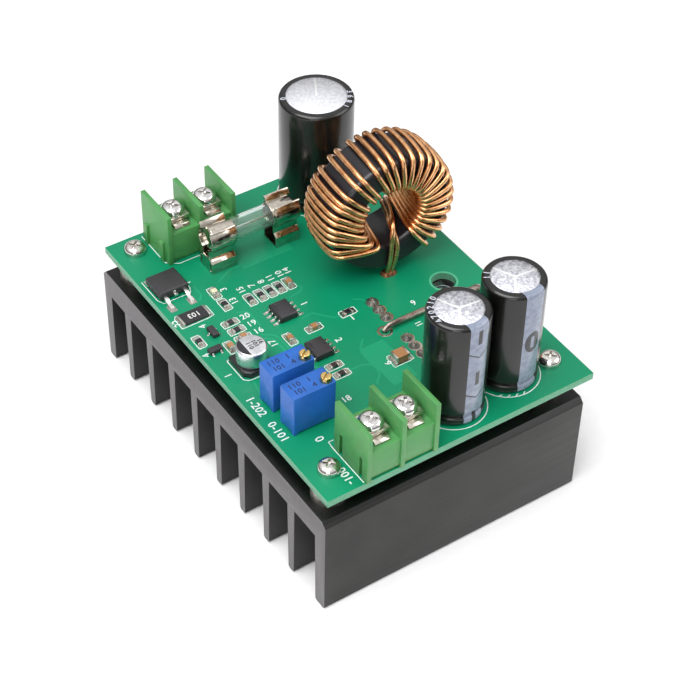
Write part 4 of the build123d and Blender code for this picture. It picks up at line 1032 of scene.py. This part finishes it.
FLOOR_SIZE, FLOOR_DROP = 6, 0.00005
LAMPS = (  # name, place, size, power
    ("key", (-0.25, -0.05, 0.6), 0.5, 4.3),
    ("fill", (0.5, -0.35, 0.45), 0.5, 2.2),
    ("front", (-0.4, -0.5, 0.25), 0.3, 0.8),
)
LAMPS_AIM = (0, 0, 0.03)
STUDIO_FROM, STUDIO_TO = 0.1, 0.75  # upward part of the direction
STUDIO_DARK, STUDIO_BRIGHT, STUDIO_SOFT = 0.1, 1.05, 0.42
CAMERA_PLACE = (-0.162222, -0.237307, 0.293841)
CAMERA_AIM = (0.41285, 0.59334, -0.69102)
CAMERA_ROLL = 1.471
CAMERA_LENS, CAMERA_SENSOR, CAMERA_NEAR = 98.41, 36, 0.01


class CONVERTER_OT_stage(bpy.types.Operator):
    """Sets the pale floor, the lights, the world and the camera"""
    bl_idname = "converter.stage"
    bl_label = "Stage"

    def execute(self, context):
        scene = context.scene
        scene.view_settings.view_transform = "Standard"
        self.floor()
        for name, place, size, power in LAMPS:
            self.lamp(name, place, size, power)
        self.world(scene)
        self.camera(scene)
        return {"FINISHED"}

    def floor(self):
        """White paper a hair below the module."""
        deselect()
        bpy.ops.mesh.primitive_plane_add(size=FLOOR_SIZE, location=(0, 0, -FLOOR_DROP))
        floor = bpy.context.object
        floor.name = "floor"
        bpy.ops.object.transform_apply(location=True)
        floor.data.materials.append(pale_floor("white paper sweep"))

    def lamp(self, name, place, size, power):
        """A soft square light at a place, turned to the middle of the module."""
        data = bpy.data.lights.new(name, "AREA")
        data.shape = "SQUARE"
        data.size = size
        data.energy = power
        light = bpy.data.objects.new(name, data)
        light.location = place
        light.rotation_euler = (Vector(LAMPS_AIM) - Vector(place)).to_track_quat("-Z", "Y").to_euler()
        bpy.context.collection.objects.link(light)

    def world(self, scene):
        """White behind the module; shiny parts see a studio that is bright above and dark round the sides."""
        world = bpy.data.worlds.new("studio")
        scene.world = world
        world.use_nodes = True
        tree = world.node_tree
        path = add(tree, "LightPath").outputs
        rays = {0: path["Is Camera Ray"], 1: path["Is Transmission Ray"]}
        seen = add(tree, "Math", {"operation": "MAXIMUM", **rays})
        around = add(tree, "TexCoord").outputs["Generated"]
        up = add(tree, "SeparateXYZ", {0: around}).outputs["Z"]
        studio = add(tree, "MapRange", {"Value": up, "From Min": STUDIO_FROM, "From Max": STUDIO_TO,
                                        "To Min": STUDIO_DARK, "To Max": STUDIO_BRIGHT})
        shiny = add(tree, "Math", {"operation": "MULTIPLY", 0: studio, 1: path["Is Glossy Ray"]})
        other = add(tree, "Math", {"operation": "SUBTRACT", 0: 1.0, 1: path["Is Glossy Ray"]})
        soft = add(tree, "Math", {"operation": "MULTIPLY_ADD", 0: other, 1: STUDIO_SOFT, 2: shiny})
        level = add(tree, "Math", {"operation": "MAXIMUM", 0: seen, 1: soft})
        fill(tree.nodes["Background"], {"Color": linear("FFFFFF"), "Strength": level})

    def camera(self, scene):
        """The photograph's viewing angle, solved from the straight edges of board and heatsink."""
        data = bpy.data.cameras.new("camera")
        data.lens = CAMERA_LENS
        data.sensor_width = CAMERA_SENSOR
        data.clip_start = CAMERA_NEAR
        camera = bpy.data.objects.new("camera", data)
        camera.location = CAMERA_PLACE
        camera.rotation_euler = Vector(CAMERA_AIM).to_track_quat("-Z", "Y").to_euler()
        camera.rotation_euler.rotate_axis("Z", radians(CAMERA_ROLL))
        scene.collection.objects.link(camera)
        scene.camera = camera


# Add-on

class CONVERTER_PT_panel(bpy.types.Panel):
    """Lists the module's pieces"""
    bl_idname = "CONVERTER_PT_panel"
    bl_label = "Converter"
    bl_space_type = "VIEW_3D"
    bl_region_type = "UI"
    bl_category = "Converter"

    def draw(self, context):
        for item in ("wire_diameter", "edge_round", "ink_width"):
            self.layout.prop(context.scene.converter_sizes, item)
        self.layout.prop(context.scene.converter_colours, "mask")
        for operator in OPERATORS:
            self.layout.operator(operator.bl_idname)


OPERATORS = (
    CONVERTER_OT_heatsink, CONVERTER_OT_board, CONVERTER_OT_devices, CONVERTER_OT_choke,
    CONVERTER_OT_capacitors, CONVERTER_OT_terminals, CONVERTER_OT_fuse, CONVERTER_OT_adjusters,
    CONVERTER_OT_small_parts, CONVERTER_OT_stage,
)
CLASSES = (ConverterSizes, ConverterColours) + OPERATORS + (CONVERTER_PT_panel,)


def register():
    """Makes the pieces' operators and the panel known, and gives the scene its sizes and colours."""
    for item in CLASSES:
        bpy.utils.register_class(item)
    bpy.types.Scene.converter_sizes = bpy.props.PointerProperty(type=ConverterSizes)
    bpy.types.Scene.converter_colours = bpy.props.PointerProperty(type=ConverterColours)


def unregister():
    """Takes all of that away again."""
    del bpy.types.Scene.converter_colours
    del bpy.types.Scene.converter_sizes
    for item in reversed(CLASSES):
        bpy.utils.unregister_class(item)


def main():
    """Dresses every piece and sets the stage."""
    register()
    bpy.ops.converter.heatsink()
    bpy.ops.converter.board()
    bpy.ops.converter.devices()
    bpy.ops.converter.choke()
    bpy.ops.converter.capacitors()
    bpy.ops.converter.terminals()
    bpy.ops.converter.fuse()
    bpy.ops.converter.adjusters()
    bpy.ops.converter.small_parts()
    bpy.ops.converter.stage()


if __name__ == "__main__":
    main()
